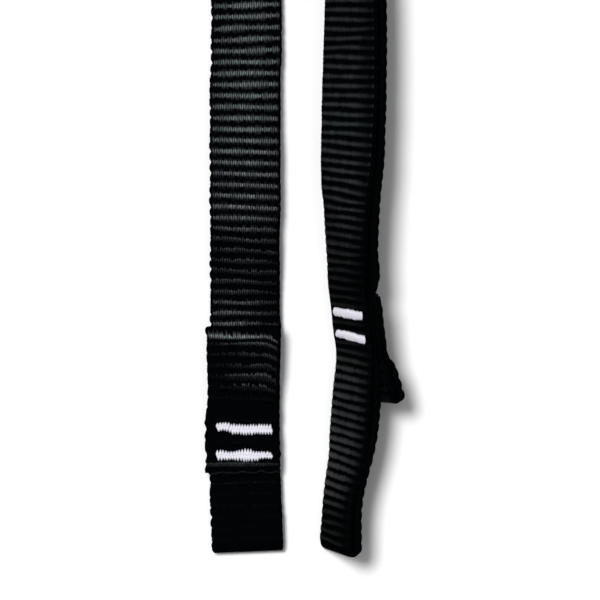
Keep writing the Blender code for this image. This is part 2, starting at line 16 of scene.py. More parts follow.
import bpy
import numpy as np
from bpy.types import ID, Material, Node, NodeSocket, NodeTree, Object
from mathutils import Vector
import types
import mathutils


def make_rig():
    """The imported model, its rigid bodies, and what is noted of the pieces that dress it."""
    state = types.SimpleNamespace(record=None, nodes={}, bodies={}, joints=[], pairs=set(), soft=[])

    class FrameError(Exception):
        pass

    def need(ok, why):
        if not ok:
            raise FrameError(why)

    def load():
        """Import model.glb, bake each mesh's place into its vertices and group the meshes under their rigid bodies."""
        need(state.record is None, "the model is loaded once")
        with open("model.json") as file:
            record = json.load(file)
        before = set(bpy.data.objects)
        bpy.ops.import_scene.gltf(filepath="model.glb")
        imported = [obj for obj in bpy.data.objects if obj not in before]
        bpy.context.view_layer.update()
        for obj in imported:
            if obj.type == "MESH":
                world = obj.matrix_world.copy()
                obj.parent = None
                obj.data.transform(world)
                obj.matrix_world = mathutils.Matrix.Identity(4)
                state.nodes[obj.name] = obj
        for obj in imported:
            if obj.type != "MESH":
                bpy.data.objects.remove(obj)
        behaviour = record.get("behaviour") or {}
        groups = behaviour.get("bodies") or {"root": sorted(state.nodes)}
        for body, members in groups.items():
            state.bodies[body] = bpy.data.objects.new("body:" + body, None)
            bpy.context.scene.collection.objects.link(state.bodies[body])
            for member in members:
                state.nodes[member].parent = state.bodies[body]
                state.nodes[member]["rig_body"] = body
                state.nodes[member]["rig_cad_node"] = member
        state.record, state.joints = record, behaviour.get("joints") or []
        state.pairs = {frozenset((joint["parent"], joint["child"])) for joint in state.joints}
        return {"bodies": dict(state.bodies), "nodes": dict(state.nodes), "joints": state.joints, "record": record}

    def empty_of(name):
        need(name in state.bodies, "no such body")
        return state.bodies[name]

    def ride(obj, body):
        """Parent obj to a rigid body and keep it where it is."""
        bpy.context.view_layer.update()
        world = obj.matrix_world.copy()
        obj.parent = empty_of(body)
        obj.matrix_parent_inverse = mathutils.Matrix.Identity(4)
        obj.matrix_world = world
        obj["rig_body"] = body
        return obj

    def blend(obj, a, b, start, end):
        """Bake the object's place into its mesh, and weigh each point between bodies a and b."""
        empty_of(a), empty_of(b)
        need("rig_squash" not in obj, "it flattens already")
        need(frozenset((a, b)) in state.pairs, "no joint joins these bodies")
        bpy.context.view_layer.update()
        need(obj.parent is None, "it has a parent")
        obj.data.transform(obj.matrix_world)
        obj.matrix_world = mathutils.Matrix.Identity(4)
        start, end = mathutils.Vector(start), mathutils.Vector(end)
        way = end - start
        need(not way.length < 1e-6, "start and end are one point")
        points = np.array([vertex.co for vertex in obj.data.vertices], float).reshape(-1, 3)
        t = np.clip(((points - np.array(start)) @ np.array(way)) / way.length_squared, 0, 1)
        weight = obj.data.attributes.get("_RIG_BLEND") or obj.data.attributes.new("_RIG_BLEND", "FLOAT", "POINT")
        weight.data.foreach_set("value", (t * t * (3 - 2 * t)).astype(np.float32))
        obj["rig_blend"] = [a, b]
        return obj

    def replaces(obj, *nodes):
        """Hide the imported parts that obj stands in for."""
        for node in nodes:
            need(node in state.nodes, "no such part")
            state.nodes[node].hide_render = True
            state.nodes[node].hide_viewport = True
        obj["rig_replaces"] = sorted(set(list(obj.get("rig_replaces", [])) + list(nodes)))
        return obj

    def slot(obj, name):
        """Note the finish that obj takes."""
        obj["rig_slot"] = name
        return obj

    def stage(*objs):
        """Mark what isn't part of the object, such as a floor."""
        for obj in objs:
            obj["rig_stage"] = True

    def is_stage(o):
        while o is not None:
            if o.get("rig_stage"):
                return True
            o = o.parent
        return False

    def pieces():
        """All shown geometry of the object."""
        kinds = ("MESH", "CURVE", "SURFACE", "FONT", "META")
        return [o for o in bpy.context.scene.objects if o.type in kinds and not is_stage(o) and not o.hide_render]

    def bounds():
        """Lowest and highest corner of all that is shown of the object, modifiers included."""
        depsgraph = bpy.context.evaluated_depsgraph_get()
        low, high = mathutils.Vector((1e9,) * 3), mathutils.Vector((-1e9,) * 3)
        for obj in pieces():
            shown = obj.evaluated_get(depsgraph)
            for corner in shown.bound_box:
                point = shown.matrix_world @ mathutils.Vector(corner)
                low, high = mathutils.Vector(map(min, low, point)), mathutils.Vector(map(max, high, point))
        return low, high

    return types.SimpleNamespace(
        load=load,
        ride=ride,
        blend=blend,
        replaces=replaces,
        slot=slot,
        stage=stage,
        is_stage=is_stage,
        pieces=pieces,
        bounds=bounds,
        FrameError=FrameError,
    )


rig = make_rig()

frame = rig.load()
CAD_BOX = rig.bounds()
LOG = logging.getLogger("daisy_chain")
Array = np.ndarray
Profile = np.ndarray | float

# Webbing
WEB_WIDTH = 0.0160
WEB_THICKNESS = 0.0017
SEWN_THICKNESS = 0.00085
SWELL_LENGTH = 0.0120
LAYER_GAP = 0.0003
POCKET_SLACK = 0.0005

# Chain, from the clip-in eye to the harness eye
JUNCTIONS = 9
PITCH = 0.1120
CLIP_IN_EYE_LENGTH = 0.0252
HARNESS_EYE_LENGTH = 0.0523

# Bar tacks and clip loops
BAR_EDGE_MARGIN = 0.0017
BAR_WIDTH = 0.0027
BAR_SPACING = 0.0059
LOOP_SPREAD = 0.0008
LOOP_FREE_LENGTH = 0.0204
LAST_LOOP_FREE_LENGTH = 0.0122
LOOP_BULGE = 0.0011
LOOP_ROOT_MARGIN = 0.0005
CUT_END_MARGIN = 0.0032
CUT_END_THICKNESS = 0.00060
LOOP_ANGLES = (4.5, 6.0, 12.0, 8.0, 16.0, 9.0, 14.0, 15.0, 9.0)
FLEX_LIMIT = 60.0
HINGE_GAP = 0.0003
SEAM_MARGIN = 0.0006

BAR_LENGTH = WEB_WIDTH - 2 * BAR_EDGE_MARGIN
LOOP_WIDTH = WEB_WIDTH + LOOP_SPREAD
SEWN_PAIR = 2 * SEWN_THICKNESS + LAYER_GAP
BAR_REACH = (BAR_SPACING + BAR_WIDTH) / 2
BASE_TAIL = BAR_REACH + CUT_END_MARGIN
BASE_HEAD = BAR_REACH + LOOP_ROOT_MARGIN
LOOP_PLANE = SEWN_PAIR + LAYER_GAP
LOOP_AXIS = BASE_HEAD + LAYER_GAP + SEWN_PAIR / 2
LOOP_TIP = LOOP_AXIS + LOOP_FREE_LENGTH
STACK_TOP = LOOP_PLANE + SEWN_PAIR / 2
FLEX_SLOPE = math.tan(math.radians(FLEX_LIMIT) / 2)
EYE_MARGIN = HINGE_GAP / 2 + SEWN_PAIR / 2 * FLEX_SLOPE + SEAM_MARGIN
FLAT_HEIGHT = (LAYER_GAP + POCKET_SLACK) / 2 + WEB_THICKNESS
EDGE_HEIGHT = LOOP_WIDTH / 2
CHAIN_LENGTH = CLIP_IN_EYE_LENGTH + (JUNCTIONS - 1) * PITCH + HARNESS_EYE_LENGTH

# The weave and its mesh: yarn pairs lie side by side in every rib and lean together into small Vs
YARN_PAIR = 0.00102
YARN_LEAN = 0.15
YARN_HEIGHT = 0.00004
CREST_FLAT = 0.28
SELVAGE_RADIUS = 0.00055
PATH_STEP = 0.0001
# How much the back's ribs lean along the strap, as (distance past the last junction, slope)
HARNESS_RIB_SLOPE = (
    (-0.112, 0.06), (-0.070, 0.06), (-0.046, 0.03), (-0.032, 0.075), (-0.020, 0.03), (-0.010, 0.0),
    (0.0, 0.04), (0.0046, 0.08), (0.0087, 0.04), (0.0128, 0.015), (0.0170, 0.017), (0.0210, 0.003),
    (0.0251, 0.0), (0.0293, 0.02), (0.0334, 0.012), (0.0375, -0.023), (0.0416, -0.03),
    (0.0457, 0.005), (0.055, 0.03),
)
# The same for the front's ribs, as (distance past a junction, slope)
FACE_RIB_SLOPE = (
    (0.027, 0.0), (0.032, -0.012), (0.037, -0.037), (0.042, -0.057), (0.052, -0.046),
    (0.060, -0.033), (0.070, -0.026), (0.078, -0.008), (0.084, 0.017), (0.092, 0.033), (0.112, 0.0),
)
# Painted sheen of the seen loop, painted highlight or painted shade, as (mm past its junction, painted sheen)
SEEN_LOOP_PAINTED_SHEEN = (
    (-9.0, 0.05), (-5.9, 0.06), (-5.4, 0.70), (-4.8, 0.70), (-4.4, 0.10), (-3.8, 0.03), (8.0, 0.02),
    (10.3, 0.18), (12.8, 0.44), (15.0, 0.58), (17.5, 0.36), (20.0, 0.32), (22.6, 0.52),
    (23.3, 1.80), (24.0, 1.60), (24.5, 0.85), (25.0, 0.50), (25.5, 0.15), (26.0, 0.05),
)


class Side(IntEnum):
    """A face of the strap, and the way that it looks along n."""

    FRONT = 1
    BACK = -1


class Row(IntEnum):
    """One of a junction's two bar tacks, and on which side of the junction's centre it lies."""

    REAR = -1
    FORE = 1


def through(points: tuple, at: Array) -> Array:
    """A smooth curve: a cubic from each point to the next, with a slope shared at each point.

    Args:
        points: (x, y) points, in rising x.
        at: the x to read.

    Returns:
        The y there.
    """
    x, y = np.array(points).T
    slope = np.gradient(y, x)
    i = np.clip(np.searchsorted(x, at) - 1, 0, len(x) - 2)
    span = x[i + 1] - x[i]
    t = np.clip((at - x[i]) / span, 0, 1)
    left = y[i] * (1 + 2 * t) + slope[i] * span * t
    right = y[i + 1] * (3 - 2 * t) - slope[i + 1] * span * (1 - t)
    return left * (1 - t) ** 2 + right * t**2


def ease(t: Array) -> Array:
    """Goes from 0 to 1 with a soft start and end: t squared, times 3 less 2 t."""
    t = np.clip(t, 0, 1)
    return t * t * (3 - 2 * t)


def steps(x: Array, base: float, *changes: tuple) -> Array:
    """The base plus each (height, start, reach): the height times the ease of (x - start) / reach."""
    return base + sum(height * ease((x - start) / reach) for height, start, reach in changes)


def window(x: Array, start: float, rise: float, end: float, fall: float) -> Array:
    """Eases up from 0 after start, stays at 1 and eases down to 0 before end."""
    return ease((x - start) / rise) * ease((end - x) / fall)


def hump(x: Array, centre: float, reach: float) -> Array:
    """A smooth hump of height 1 at centre that ends at reach on either side."""
    return ease(1 - np.abs(x - centre) / reach)


def wander(x: Array, seed: int, scale: float) -> Array:
    """A smooth random line, about -1 to 1: the sum of five sines that change over scale, over 2.6."""
    waves = np.random.default_rng(seed).uniform((0.8, 0), (3.2, 2 * math.pi), (5, 2))
    return sum(np.sin(x / scale * rate + start) for rate, start in waves) / 2.6


def unit(rows: Array) -> Array:
    """Each row scaled to length 1."""
    return rows / np.linalg.norm(rows, axis=1)[:, None]


def lengths(points: Array) -> Array:
    """Distance along a line of points: the sum of the steps before each."""
    parts = np.linalg.norm(np.diff(points, axis=0), axis=1)
    return np.concatenate([[0], np.cumsum(parts)])


def read_rows(at: Array, x: Array, table: Array) -> Array:
    """A table with a row for each x, read in between by straight lines."""
    return np.column_stack([np.interp(at, x, column) for column in table.T])


def junction_s(number: int) -> float:
    """Distance along the strap of a junction's centre, counted from 1."""
    return CLIP_IN_EYE_LENGTH + (number - 1) * PITCH


def loop_length(number: int) -> float:
    """Length of a clip loop's free part."""
    return LAST_LOOP_FREE_LENGTH if number == JUNCTIONS else LOOP_FREE_LENGTH


def resting_height(roll: Array) -> Array:
    """Height of the centre line on the floor: half the pair by cosine, half the width by sine."""
    return FLAT_HEIGHT * np.abs(np.cos(roll)) + EDGE_HEIGHT * np.sin(roll)


def link_ends(number: int) -> tuple[float, float]:
    """Where a link's webbing starts and ends, at its bending lines: halfway, or beside an eye.

    Args:
        number: the link's junction.

    Returns:
        Both distances along the strap.
    """
    behind = BASE_TAIL + EYE_MARGIN if number == 1 else PITCH / 2
    ahead = BASE_HEAD + EYE_MARGIN if number == JUNCTIONS else PITCH / 2
    return junction_s(number) - behind, junction_s(number) + ahead


def layer_at(s: Array) -> tuple[Array, Array]:
    """The front layer: its thickness and the pocket's slack ease in away from a junction.

    Args:
        s: distances along the strap.

    Returns:
        The height of its middle, and half its thickness.
    """
    number = np.clip(np.round((s - CLIP_IN_EYE_LENGTH) / PITCH), 0, JUNCTIONS - 1)
    off = s - CLIP_IN_EYE_LENGTH - number * PITCH
    ahead = ease((off - LOOP_TIP) / (WEB_WIDTH * 0.9))
    behind = ease((-off - BASE_TAIL) / (WEB_WIDTH * 1.8))
    slack = POCKET_SLACK / 2 * np.where(off > 0, ahead, behind)
    swell = WEB_THICKNESS - SEWN_THICKNESS
    half = steps(np.abs(off), SEWN_THICKNESS, (swell, BAR_REACH, SWELL_LENGTH)) / 2
    return LAYER_GAP / 2 + slack + half, half


@dataclass
class ChainRoute:
    """The strap's centre line and how it turns, the same as in the CAD source.

    Attributes:
        radius: of the bend that joins the two legs. They part for it from neck_y on.
        clip_in_leg: (y, x) points of the leg with the clip-in eye.
        harness_leg: the same of the other leg.
        harness_roll: (y, degrees) by which that leg's front is turned from straight up.
        arch_height: how far the strap arches up between its last two loops.
        prop_margin: how far those loops' edges stay off the floor.
        twist_start: how far past the second junction the strap starts to turn on its edge.
        step: from one point of the route to the next.
    """

    radius: float
    end_y: float = -0.0576
    neck_y: float = 0.1450
    neck_radius: float = 0.0500
    clip_in_leg: tuple = (
        (-0.0576, -0.0119), (-0.0400, -0.0126), (-0.0040, -0.0124), (0.0400, -0.0125),
        (0.1450, -0.0123),
    )
    harness_leg: tuple = (
        (-0.0576, 0.0092), (-0.0457, 0.0097), (-0.0330, 0.0119), (-0.0137, 0.0131),
        (-0.0015, 0.0119), (0.0150, 0.0114), (0.0320, 0.0120), (0.0500, 0.0125), (0.1450, 0.0123),
    )
    harness_roll: tuple = (
        (-0.0576, 112.0), (-0.0457, 111.0), (-0.0330, 119.0), (-0.0100, 118.0), (0.0110, 120.0),
        (0.0330, 136.0), (0.0620, 136.0), (0.1060, 112.0), (0.1500, 90.0),
    )
    arch_height: float = 0.0040
    prop_margin: float = 0.0012
    twist_start: float = 0.0280
    twist_length: float = 0.0620
    step: float = 0.0005

    def __post_init__(self) -> None:
        """Makes the centre line and the ways ahead, to the front (the upright, rolled) and across."""
        plan = self.plan()
        self.s = lengths(plan)
        roll = self.rolls(plan)
        from_end = self.s - self.s[-1]
        lift = through(self.lifts(from_end, roll), from_end)
        self.centre = np.column_stack([plan, resting_height(roll) + np.maximum(lift, 0)])
        self.s = lengths(self.centre)
        self.ahead = unit(np.gradient(self.centre, self.s, axis=0))
        level = np.column_stack([-self.ahead[:, 1], self.ahead[:, 0], np.zeros(len(plan))])
        front = unit(level) * np.sin(roll)[:, None] + np.array([0, 0, 1]) * np.cos(roll)[:, None]
        lean = (front * self.ahead).sum(axis=1)[:, None] * self.ahead
        self.front = unit(front - lean)
        self.across = np.cross(self.ahead, self.front)
        self.origin = np.zeros(3)

    @classmethod
    def fitted(cls, anchor_s: float, anchor: tuple) -> "ChainRoute":
        """The route whose bend is just large enough, found by halving, moved to the frame.

        Args:
            anchor_s: a distance along the strap.
            anchor: where the frame has it.

        Returns:
            The route.
        """
        small, large = 0.030, 0.400
        for _ in range(40):
            radius = (small + large) / 2
            if cls(radius).s[-1] < CHAIN_LENGTH:
                small = radius
            else:
                large = radius
        route = cls(large)
        route.origin = np.array(anchor) - read_rows(np.array([anchor_s]), route.s, route.centre)[0]
        route.centre = route.centre + route.origin
        return route

    def plan(self) -> Array:
        """The route seen from above: up one leg, round the bend and down the other.

        The necks turn by the angle whose cosine is (neck radius + half the legs' distance) over
        (neck radius + bend radius), and the bend is the arc between them.

        Returns:
            The (x, y) points.
        """
        leg_y = np.arange(self.end_y, self.neck_y, self.step)
        left = np.column_stack([through(self.clip_in_leg, leg_y), leg_y])
        right = np.column_stack([through(self.harness_leg, leg_y), leg_y])[::-1]
        left_x, right_x = self.clip_in_leg[-1][1], self.harness_leg[-1][1]
        middle, half = (left_x + right_x) / 2, (right_x - left_x) / 2
        lean = math.acos((self.neck_radius + half) / (self.neck_radius + self.radius))
        turn = np.arange(0, lean, self.step / self.neck_radius)
        neck_x = left_x - self.neck_radius * (1 - np.cos(turn))
        neck = np.column_stack([neck_x, self.neck_y + self.neck_radius * np.sin(turn)])
        centre_y = self.neck_y + (self.neck_radius + self.radius) * math.sin(lean)
        sweep = np.arange(math.pi + lean, -lean, -self.step / self.radius)
        bend = np.column_stack([np.cos(sweep), np.sin(sweep)]) * self.radius + (middle, centre_y)
        back_neck = np.column_stack([2 * middle - neck[::-1, 0], neck[::-1, 1]])
        return np.vstack([left, neck, bend, back_neck, right])

    def rolls(self, plan: Array) -> Array:
        """Roll of the front from straight up: a twist to 90 degrees, then the leg's own.

        Args:
            plan: the plan's points.

        Returns:
            The roll at each, in radians.
        """
        twist = ease((self.s - junction_s(2) - self.twist_start) / self.twist_length)
        by_y = through(self.harness_roll, plan[:, 1])
        on_leg = (self.s > self.s[-1] / 2) & (plan[:, 1] < self.harness_roll[-1][0])
        return np.radians(np.where(on_leg, by_y, 90.0 * twist))

    def propped(self, roll: float, number: int) -> float:
        """Height of the centre line where a loop under it stands on the floor, by its depth there.

        Args:
            roll: the strap's roll there.
            number: the loop's junction.

        Returns:
            The height.
        """
        lean = math.radians(LOOP_ANGLES[number - 1])
        loop_back = LAYER_GAP / 2 + LOOP_BULGE + WEB_THICKNESS
        depth = LOOP_PLANE + loop_length(number) * math.sin(lean) + loop_back * math.cos(lean)
        return depth * abs(math.cos(roll)) + EDGE_HEIGHT * math.sin(roll) + self.prop_margin

    def lifts(self, from_end: Array, roll: Array) -> list:
        """How far the harness leg is held up off the floor by its last two loops.

        Args:
            from_end: the route's distances, from its end.
            roll: its roll at each.

        Returns:
            The (distance from the end, lift) points.
        """
        start, near, last = (
            junction_s(JUNCTIONS + back) + LOOP_AXIS - CHAIN_LENGTH for back in (-2, -1, 0)
        )
        rolls = [np.interp(place, from_end, roll) for place in (near, last)]
        lift, end = (
            self.propped(here, number) - resting_height(here)
            for here, number in zip(rolls, (JUNCTIONS - 1, JUNCTIONS))
        )
        arch = ((near + last) / 2, (lift + end) / 2 + self.arch_height)
        return [(-CHAIN_LENGTH, 0.0), (start, 0.0), (near, lift), arch, (last, end), (0.0, 0.0)]

    def place(self, s: Array, n: Array, a: Array, straight_from: float = math.inf) -> Array:
        """World points of chain places: the centre there, plus n to the front and a across.

        Args:
            s: distances along the strap.
            n: heights above it.
            a: distances across it.
            straight_from: past this distance they keep the route's direction there.

        Returns:
            The points, in an array of their shape by 3.
        """
        flat = s.ravel()
        read = np.minimum(flat, straight_from)
        parts = ((self.ahead, flat - read), (self.front, n.ravel()), (self.across, a.ravel()))
        points = read_rows(read, self.s, self.centre)
        for table, amount in parts:
            points = points + read_rows(read, self.s, table) * amount[:, None]
        return points.reshape(*s.shape, 3)

    def point(self, s: float, n: float = 0.0) -> Vector:
        """One world point on the strap's centre line, or above it."""
        return Vector(self.place(np.array([s]), np.array([n]), np.zeros(1))[0])


@dataclass(frozen=True)
class Weave:
    """How one side of the webbing is woven.

    Attributes:
        pitch: distance from one rib to the next.
        rise: height of a rib's crest over its groove.
        floats: how clearly the single yarns show, from 0 to 1.
        scallop: how far the selvage swells at each rib.
    """

    pitch: float
    rise: float
    floats: float
    scallop: float


FACE_WEAVE = Weave(pitch=0.00254, rise=0.00044, floats=1.0, scallop=0.00026)
BACK_WEAVE = Weave(pitch=0.00207, rise=0.00040, floats=0.22, scallop=0.00015)


def woven(key: str, back: Array) -> Array:
    """One number of the weave, from the face's to the back's by how far a place is the back."""
    face = getattr(FACE_WEAVE, key)
    return face + (getattr(BACK_WEAVE, key) - face) * back


def rib_profile(ribs: Array) -> Array:
    """Height of the ribs, 0 to 1: a round crest, and eased flanks down to the groove."""
    off = np.abs(ribs - np.floor(ribs) - 0.5) * 2
    return 1 - 0.25 * off**2 - 0.75 * ease((off - CREST_FLAT) / (1 - CREST_FLAT))


def yarn_relief(ribs: Array, pairs: Array) -> Array:
    """Height of the leaning yarns, 0 to 1: 1 less the square of the way out from a yarn's middle."""
    cell = np.abs(pairs - np.floor(pairs) - 0.5) - YARN_LEAN * (ribs - np.floor(ribs) - 0.5)
    return np.clip(1 - ((cell - 0.25) / 0.25) ** 2, 0, 1)


class Fineness(Enum):
    """How finely a strip is meshed: rings to a rib, then points over, under and round an edge."""

    NEAR = (12, 110, 20, 8)
    MIDDLE = (10, 60, 18, 7)
    FAR = (9, 24, 12, 5)

    def section(self) -> tuple[Array, Array, Array]:
        """One cross-section of a strip, with a half circle round each selvage.

        Returns:
            The place over the flat part (-1 to 1), the cosine round the selvage (0 over the flat
            part) and the level (-1 to 1) of each point.
        """
        _, over, under, round_count = self.value
        turn = np.radians(np.linspace(90, -90, round_count + 2)[1:-1])
        edge = np.ones(round_count)
        flat = np.concatenate([np.linspace(-1, 1, over), edge, np.linspace(1, -1, under), -edge])
        cosine = np.concatenate([np.zeros(over), np.cos(turn), np.zeros(under), -np.cos(turn)])
        level = np.concatenate([np.ones(over), np.sin(turn), -np.ones(under), np.sin(turn[::-1])])
        return flat, cosine, level


@dataclass
class Strip:
    """A length of webbing, with its profiles along its middle line.

    Attributes:
        path: (s, n) points, about PATH_STEP apart.
        half: half the thickness at each.
        width: half the width.
        back: how far it is woven as the back face, from 0 to 1.
        shift: how far it is moved across.
        slope: how much a rib leans along the strap for each step across it.
        droop: how far the ribs trail at the right selvage.
        polish: how strong its painted highlight is, from 0 up; low values paint it in shade.
        relief: how much of the ribs' height it has.
        bow: how far the middle bulges over the selvages.
        stretch: how long a rib is, as a share of the weave's pitch.
        rough: how uneven the selvages are.
        fuzz: how far the yarns are matted together, from 0 to 1.
        tilt: how much more painted highlight the right half takes than the left, from -1 to 1.
        knobs: how much of the selvages' swelling it has.
        crest: a distance along the strap with the crest of a rib.
        crest_pass: on which of the path's ways past that distance it is, as an index.
        hidden: the face that lies against another strip, which is painted in shade.
    """

    path: Array
    half: Array
    width: Profile = WEB_WIDTH / 2
    back: Profile = 0.0
    shift: Profile = 0.0
    slope: Profile = 0.0
    droop: Profile = 0.0
    polish: Profile = 1.0
    relief: Profile = 1.0
    bow: Profile = 0.0
    stretch: Profile = 1.0
    rough: Profile = 0.00005
    fuzz: Profile = 0.0
    tilt: Profile = 0.0
    knobs: float = 1.0
    crest: float | None = None
    crest_pass: int = -1
    hidden: Side = Side.BACK

    PROFILES = (
        "half", "width", "back", "shift", "slope", "droop", "polish", "relief", "bow", "stretch",
        "rough", "fuzz", "tilt",
    )

    def __post_init__(self) -> None:
        """Spreads a single number over the whole path."""
        for key in self.PROFILES:
            setattr(self, key, getattr(self, key) + np.zeros(len(self.path)))

    def widen(self, amount: Array) -> None:
        """Moves its left selvage out by twice the amount: once by its width, once by its shift."""
        self.width, self.shift = self.width + amount, self.shift - amount

    def phases(self, run: Array) -> tuple[Array, float]:
        """The rib phase, which rises by 1 a rib: the sum of each step over the pitch there.

        Args:
            run: the distance along the path.

        Returns:
            The phase, and how much to add to put a crest in its place.
        """
        pitch = woven("pitch", self.back) * self.stretch
        phases = np.concatenate([[0], np.cumsum(np.diff(run) / (pitch[1:] + pitch[:-1]) * 2)])
        if self.crest is None:
            return phases, 0.0
        passes = np.flatnonzero(np.abs(self.path[:, 0] - self.crest) < PATH_STEP)
        return phases, 0.5 - phases[passes[self.crest_pass]] % 1


@dataclass(frozen=True)
class Rings:
    """The cross-sections of one strip: arrays of a column each for rings, of a row for points.

    Attributes:
        ribs: the rib phase of each ring.
        flat: where each point is over the flat part, from -1 to 1.
        cosine: the cosine round the selvage at each point, 0 over the flat part.
        level: the level of each point, from -1 to 1.
        read: the strip's profiles at each ring.
        seed: picks its small irregularities.
    """

    ribs: Array
    flat: Array
    cosine: Array
    level: Array
    read: SimpleNamespace
    seed: int

    def outline(self) -> tuple[Array, Array]:
        """Places across and heights of the plain section: flat faces and rounded selvages."""
        edge = np.minimum(self.read.half * 0.95, SELVAGE_RADIUS)
        return self.flat * (self.read.width - edge) + self.cosine * edge, self.level * self.read.half

    def rise(self, pairs: Array | None) -> Array:
        """How far the weave lifts each point off the plain section.

        The ribs' rise is scaled by the strip's relief and by how thick it is, and falls off to
        half beside the back's selvages. The yarns add their own, and the bow a parabola across.

        Args:
            pairs: the distance round in yarn pairs, or None for no yarns.

        Returns:
            The lift.
        """
        read, flat = self.read, self.flat
        squeeze = np.clip((read.half / WEB_THICKNESS * 2 - 0.35) / 0.65, 0.35, 1)
        wobble = wander(self.ribs + flat * 1.3, self.seed, 2.4) * 0.06
        height = woven("rise", read.back) * read.relief * squeeze
        lift = height * (rib_profile(self.ribs) - 0.62 + wobble)
        if pairs is not None:
            yarns = YARN_HEIGHT * woven("floats", read.back)
            lift = lift + yarns * (yarn_relief(self.ribs, pairs) - 0.5)
        edge_fall = 1 - 0.5 * read.back * ease((np.abs(flat) - 0.85) / 0.15)
        out = np.sign(self.level) * np.abs(self.level) ** 1.5
        return out * lift * edge_fall + read.bow * (1 - flat**2)

    def sideways(self, knobs: float) -> Array:
        """How far each point moves across: uneven selvages that swell, the left one half a rib later.

        Args:
            knobs: how much of the swelling the strip has.

        Returns:
            The move.
        """
        sign = np.sign(self.flat)
        uneven = wander(self.ribs + 9 * sign, self.seed + 1, 1.1)
        uneven = uneven + 0.6 * wander(self.ribs - 5 * sign, self.seed + 4, 0.35)
        left, right = 1.7 * (rib_profile(self.ribs + 0.5) - 0.5), 0.45 * (rib_profile(self.ribs) - 0.5)
        swell = knobs * woven("scallop", self.read.back) * np.where(self.flat < 0, left, right)
        return np.abs(self.cosine) * sign * (swell + self.read.rough * uneven) + self.read.shift

    def trail(self, across: Array) -> Array:
        """How far each point moves along the path: the ribs' slope, less their droop, and waves.

        Args:
            across: the places across.

        Returns:
            The move.
        """
        droop = self.read.droop * ease((across / self.read.width - 0.45) / 0.6) ** 1.5
        waves = 0.00012 * wander(self.ribs * 0.7 + self.flat * 1.2, self.seed + 2, 1.0)
        return self.read.slope * across - droop + waves

    def polish(self, hidden: Side) -> Array:
        """Painted sheen of each point: painted shade round the selvages, and on the back from further in and towards
        its right selvage, and painted highlight along the face's middle.

        Args:
            hidden: the face that lies against another strip, and keeps a twentieth, as painted shade between the
                layers.

        Returns:
            The painted sheen.
        """
        read, flat, round_edge = self.read, self.flat, np.abs(self.cosine)
        # Painted shade on the back: a little darker at its left selvage, and down to a quarter at its right
        inner = (0.85 + 0.15 * ease((1 + flat) / 0.5)) * (0.25 + 0.75 * ease((1 - flat) / 0.85))
        back = inner * np.clip(1 - round_edge / 0.6, 0, 1)
        # Painted shade round the face's selvages
        face_edge = 0.8 * np.clip(1 - round_edge / np.where(flat < 0, 0.9, 0.5), 0, 1)
        # Painted highlight along the face's middle, brighter on one half by the painted side sheen
        sheen_falloff = (1 - 0.35 * flat**2) * np.clip(1 + read.tilt * flat, 0.1, 2)
        face = sheen_falloff * np.where(round_edge == 0, 1, face_edge)
        shown = np.maximum(read.polish * (face + read.back * (back - face)), 0.02)
        # Painted shade on the face that lies against another strip
        return shown * np.where(self.level == hidden, 0.05, 1)


def add_object(name: str, data: ID) -> Object:
    """Makes an object, links it to the scene and reports it.

    Args:
        name: its name.
        data: its mesh, light or camera.

    Returns:
        It.
    """
    obj = bpy.data.objects.new(name, data)
    bpy.context.scene.collection.objects.link(obj)
    LOG.info("%s: %s of %d faces", name, type(data).__name__, len(getattr(data, "polygons", ())))
    return obj


def tube_object(name: str, grids: Array, uv: tuple[Array, Array] | None = None) -> Object:
    """A mesh object of capped tubes, each with its faces outwards.

    A tube's faces are turned over if, summed over them, the normal times the way out from the
    tube's middle is below 0.

    Args:
        name: the object's name.
        grids: the points, as tubes by rings by points round a ring by 3.
        uv: for a UV map, the u of a ring's points and of its first one again, and the rings' v.

    Returns:
        The object.
    """
    tubes, rings, count = grids.shape[:3]
    around, along = uv or (np.zeros(count + 1), np.zeros(rings))
    u = np.stack([around[:-1], around[1:], around[1:], around[:-1]], axis=-1)
    v = np.stack([along[:-1], along[:-1], along[1:], along[1:]], axis=-1)[:, None]
    corner_uv = np.stack(np.broadcast_arrays(u, v), axis=-1).reshape(-1, 4, 2)
    here = np.arange(count)
    there, start = (here + 1) % count, np.arange(rings - 1)[:, None] * count
    corners = [start + here, start + there, start + count + there, start + count + here]
    quads = np.stack(corners, axis=-1).reshape(-1, 4)
    caps = (here[::-1], here + (rings - 1) * count)
    faces, places = [], []
    for tube, points in enumerate(grids.reshape(tubes, -1, 3)):
        first, after, _, above = points[quads].transpose(1, 0, 2)
        outward = (np.cross(after - first, above - first) * (first - points.mean(axis=0))).sum()
        order = slice(None, None, -1 if outward < 0 else 1)
        base = tube * len(points)
        faces += (quads[:, order] + base).tolist() + [(cap[order] + base).tolist() for cap in caps]
        places += [corner_uv[:, order].reshape(-1, 2), np.zeros((2 * count, 2))]
    mesh = bpy.data.meshes.new(name)
    mesh.from_pydata(grids.reshape(-1, 3), [], faces)
    mesh.shade_smooth()
    if uv:
        layer = mesh.uv_layers.new(name="UVMap")
        layer.uv.foreach_set("vector", np.vstack(places).astype(np.float32).ravel())
    return add_object(name, mesh)


def dress(obj: Object, surface: Material, slot: str, *nodes: str) -> None:
    """Gives a piece its material, its slot in the record and the solids that it stands for.

    Args:
        obj: the piece.
        surface: its material.
        slot: its slot.
        nodes: the solids' names, if any.
    """
    obj.data.materials.append(surface)
    if nodes:
        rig.replaces(obj, *nodes)
    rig.slot(obj, slot)


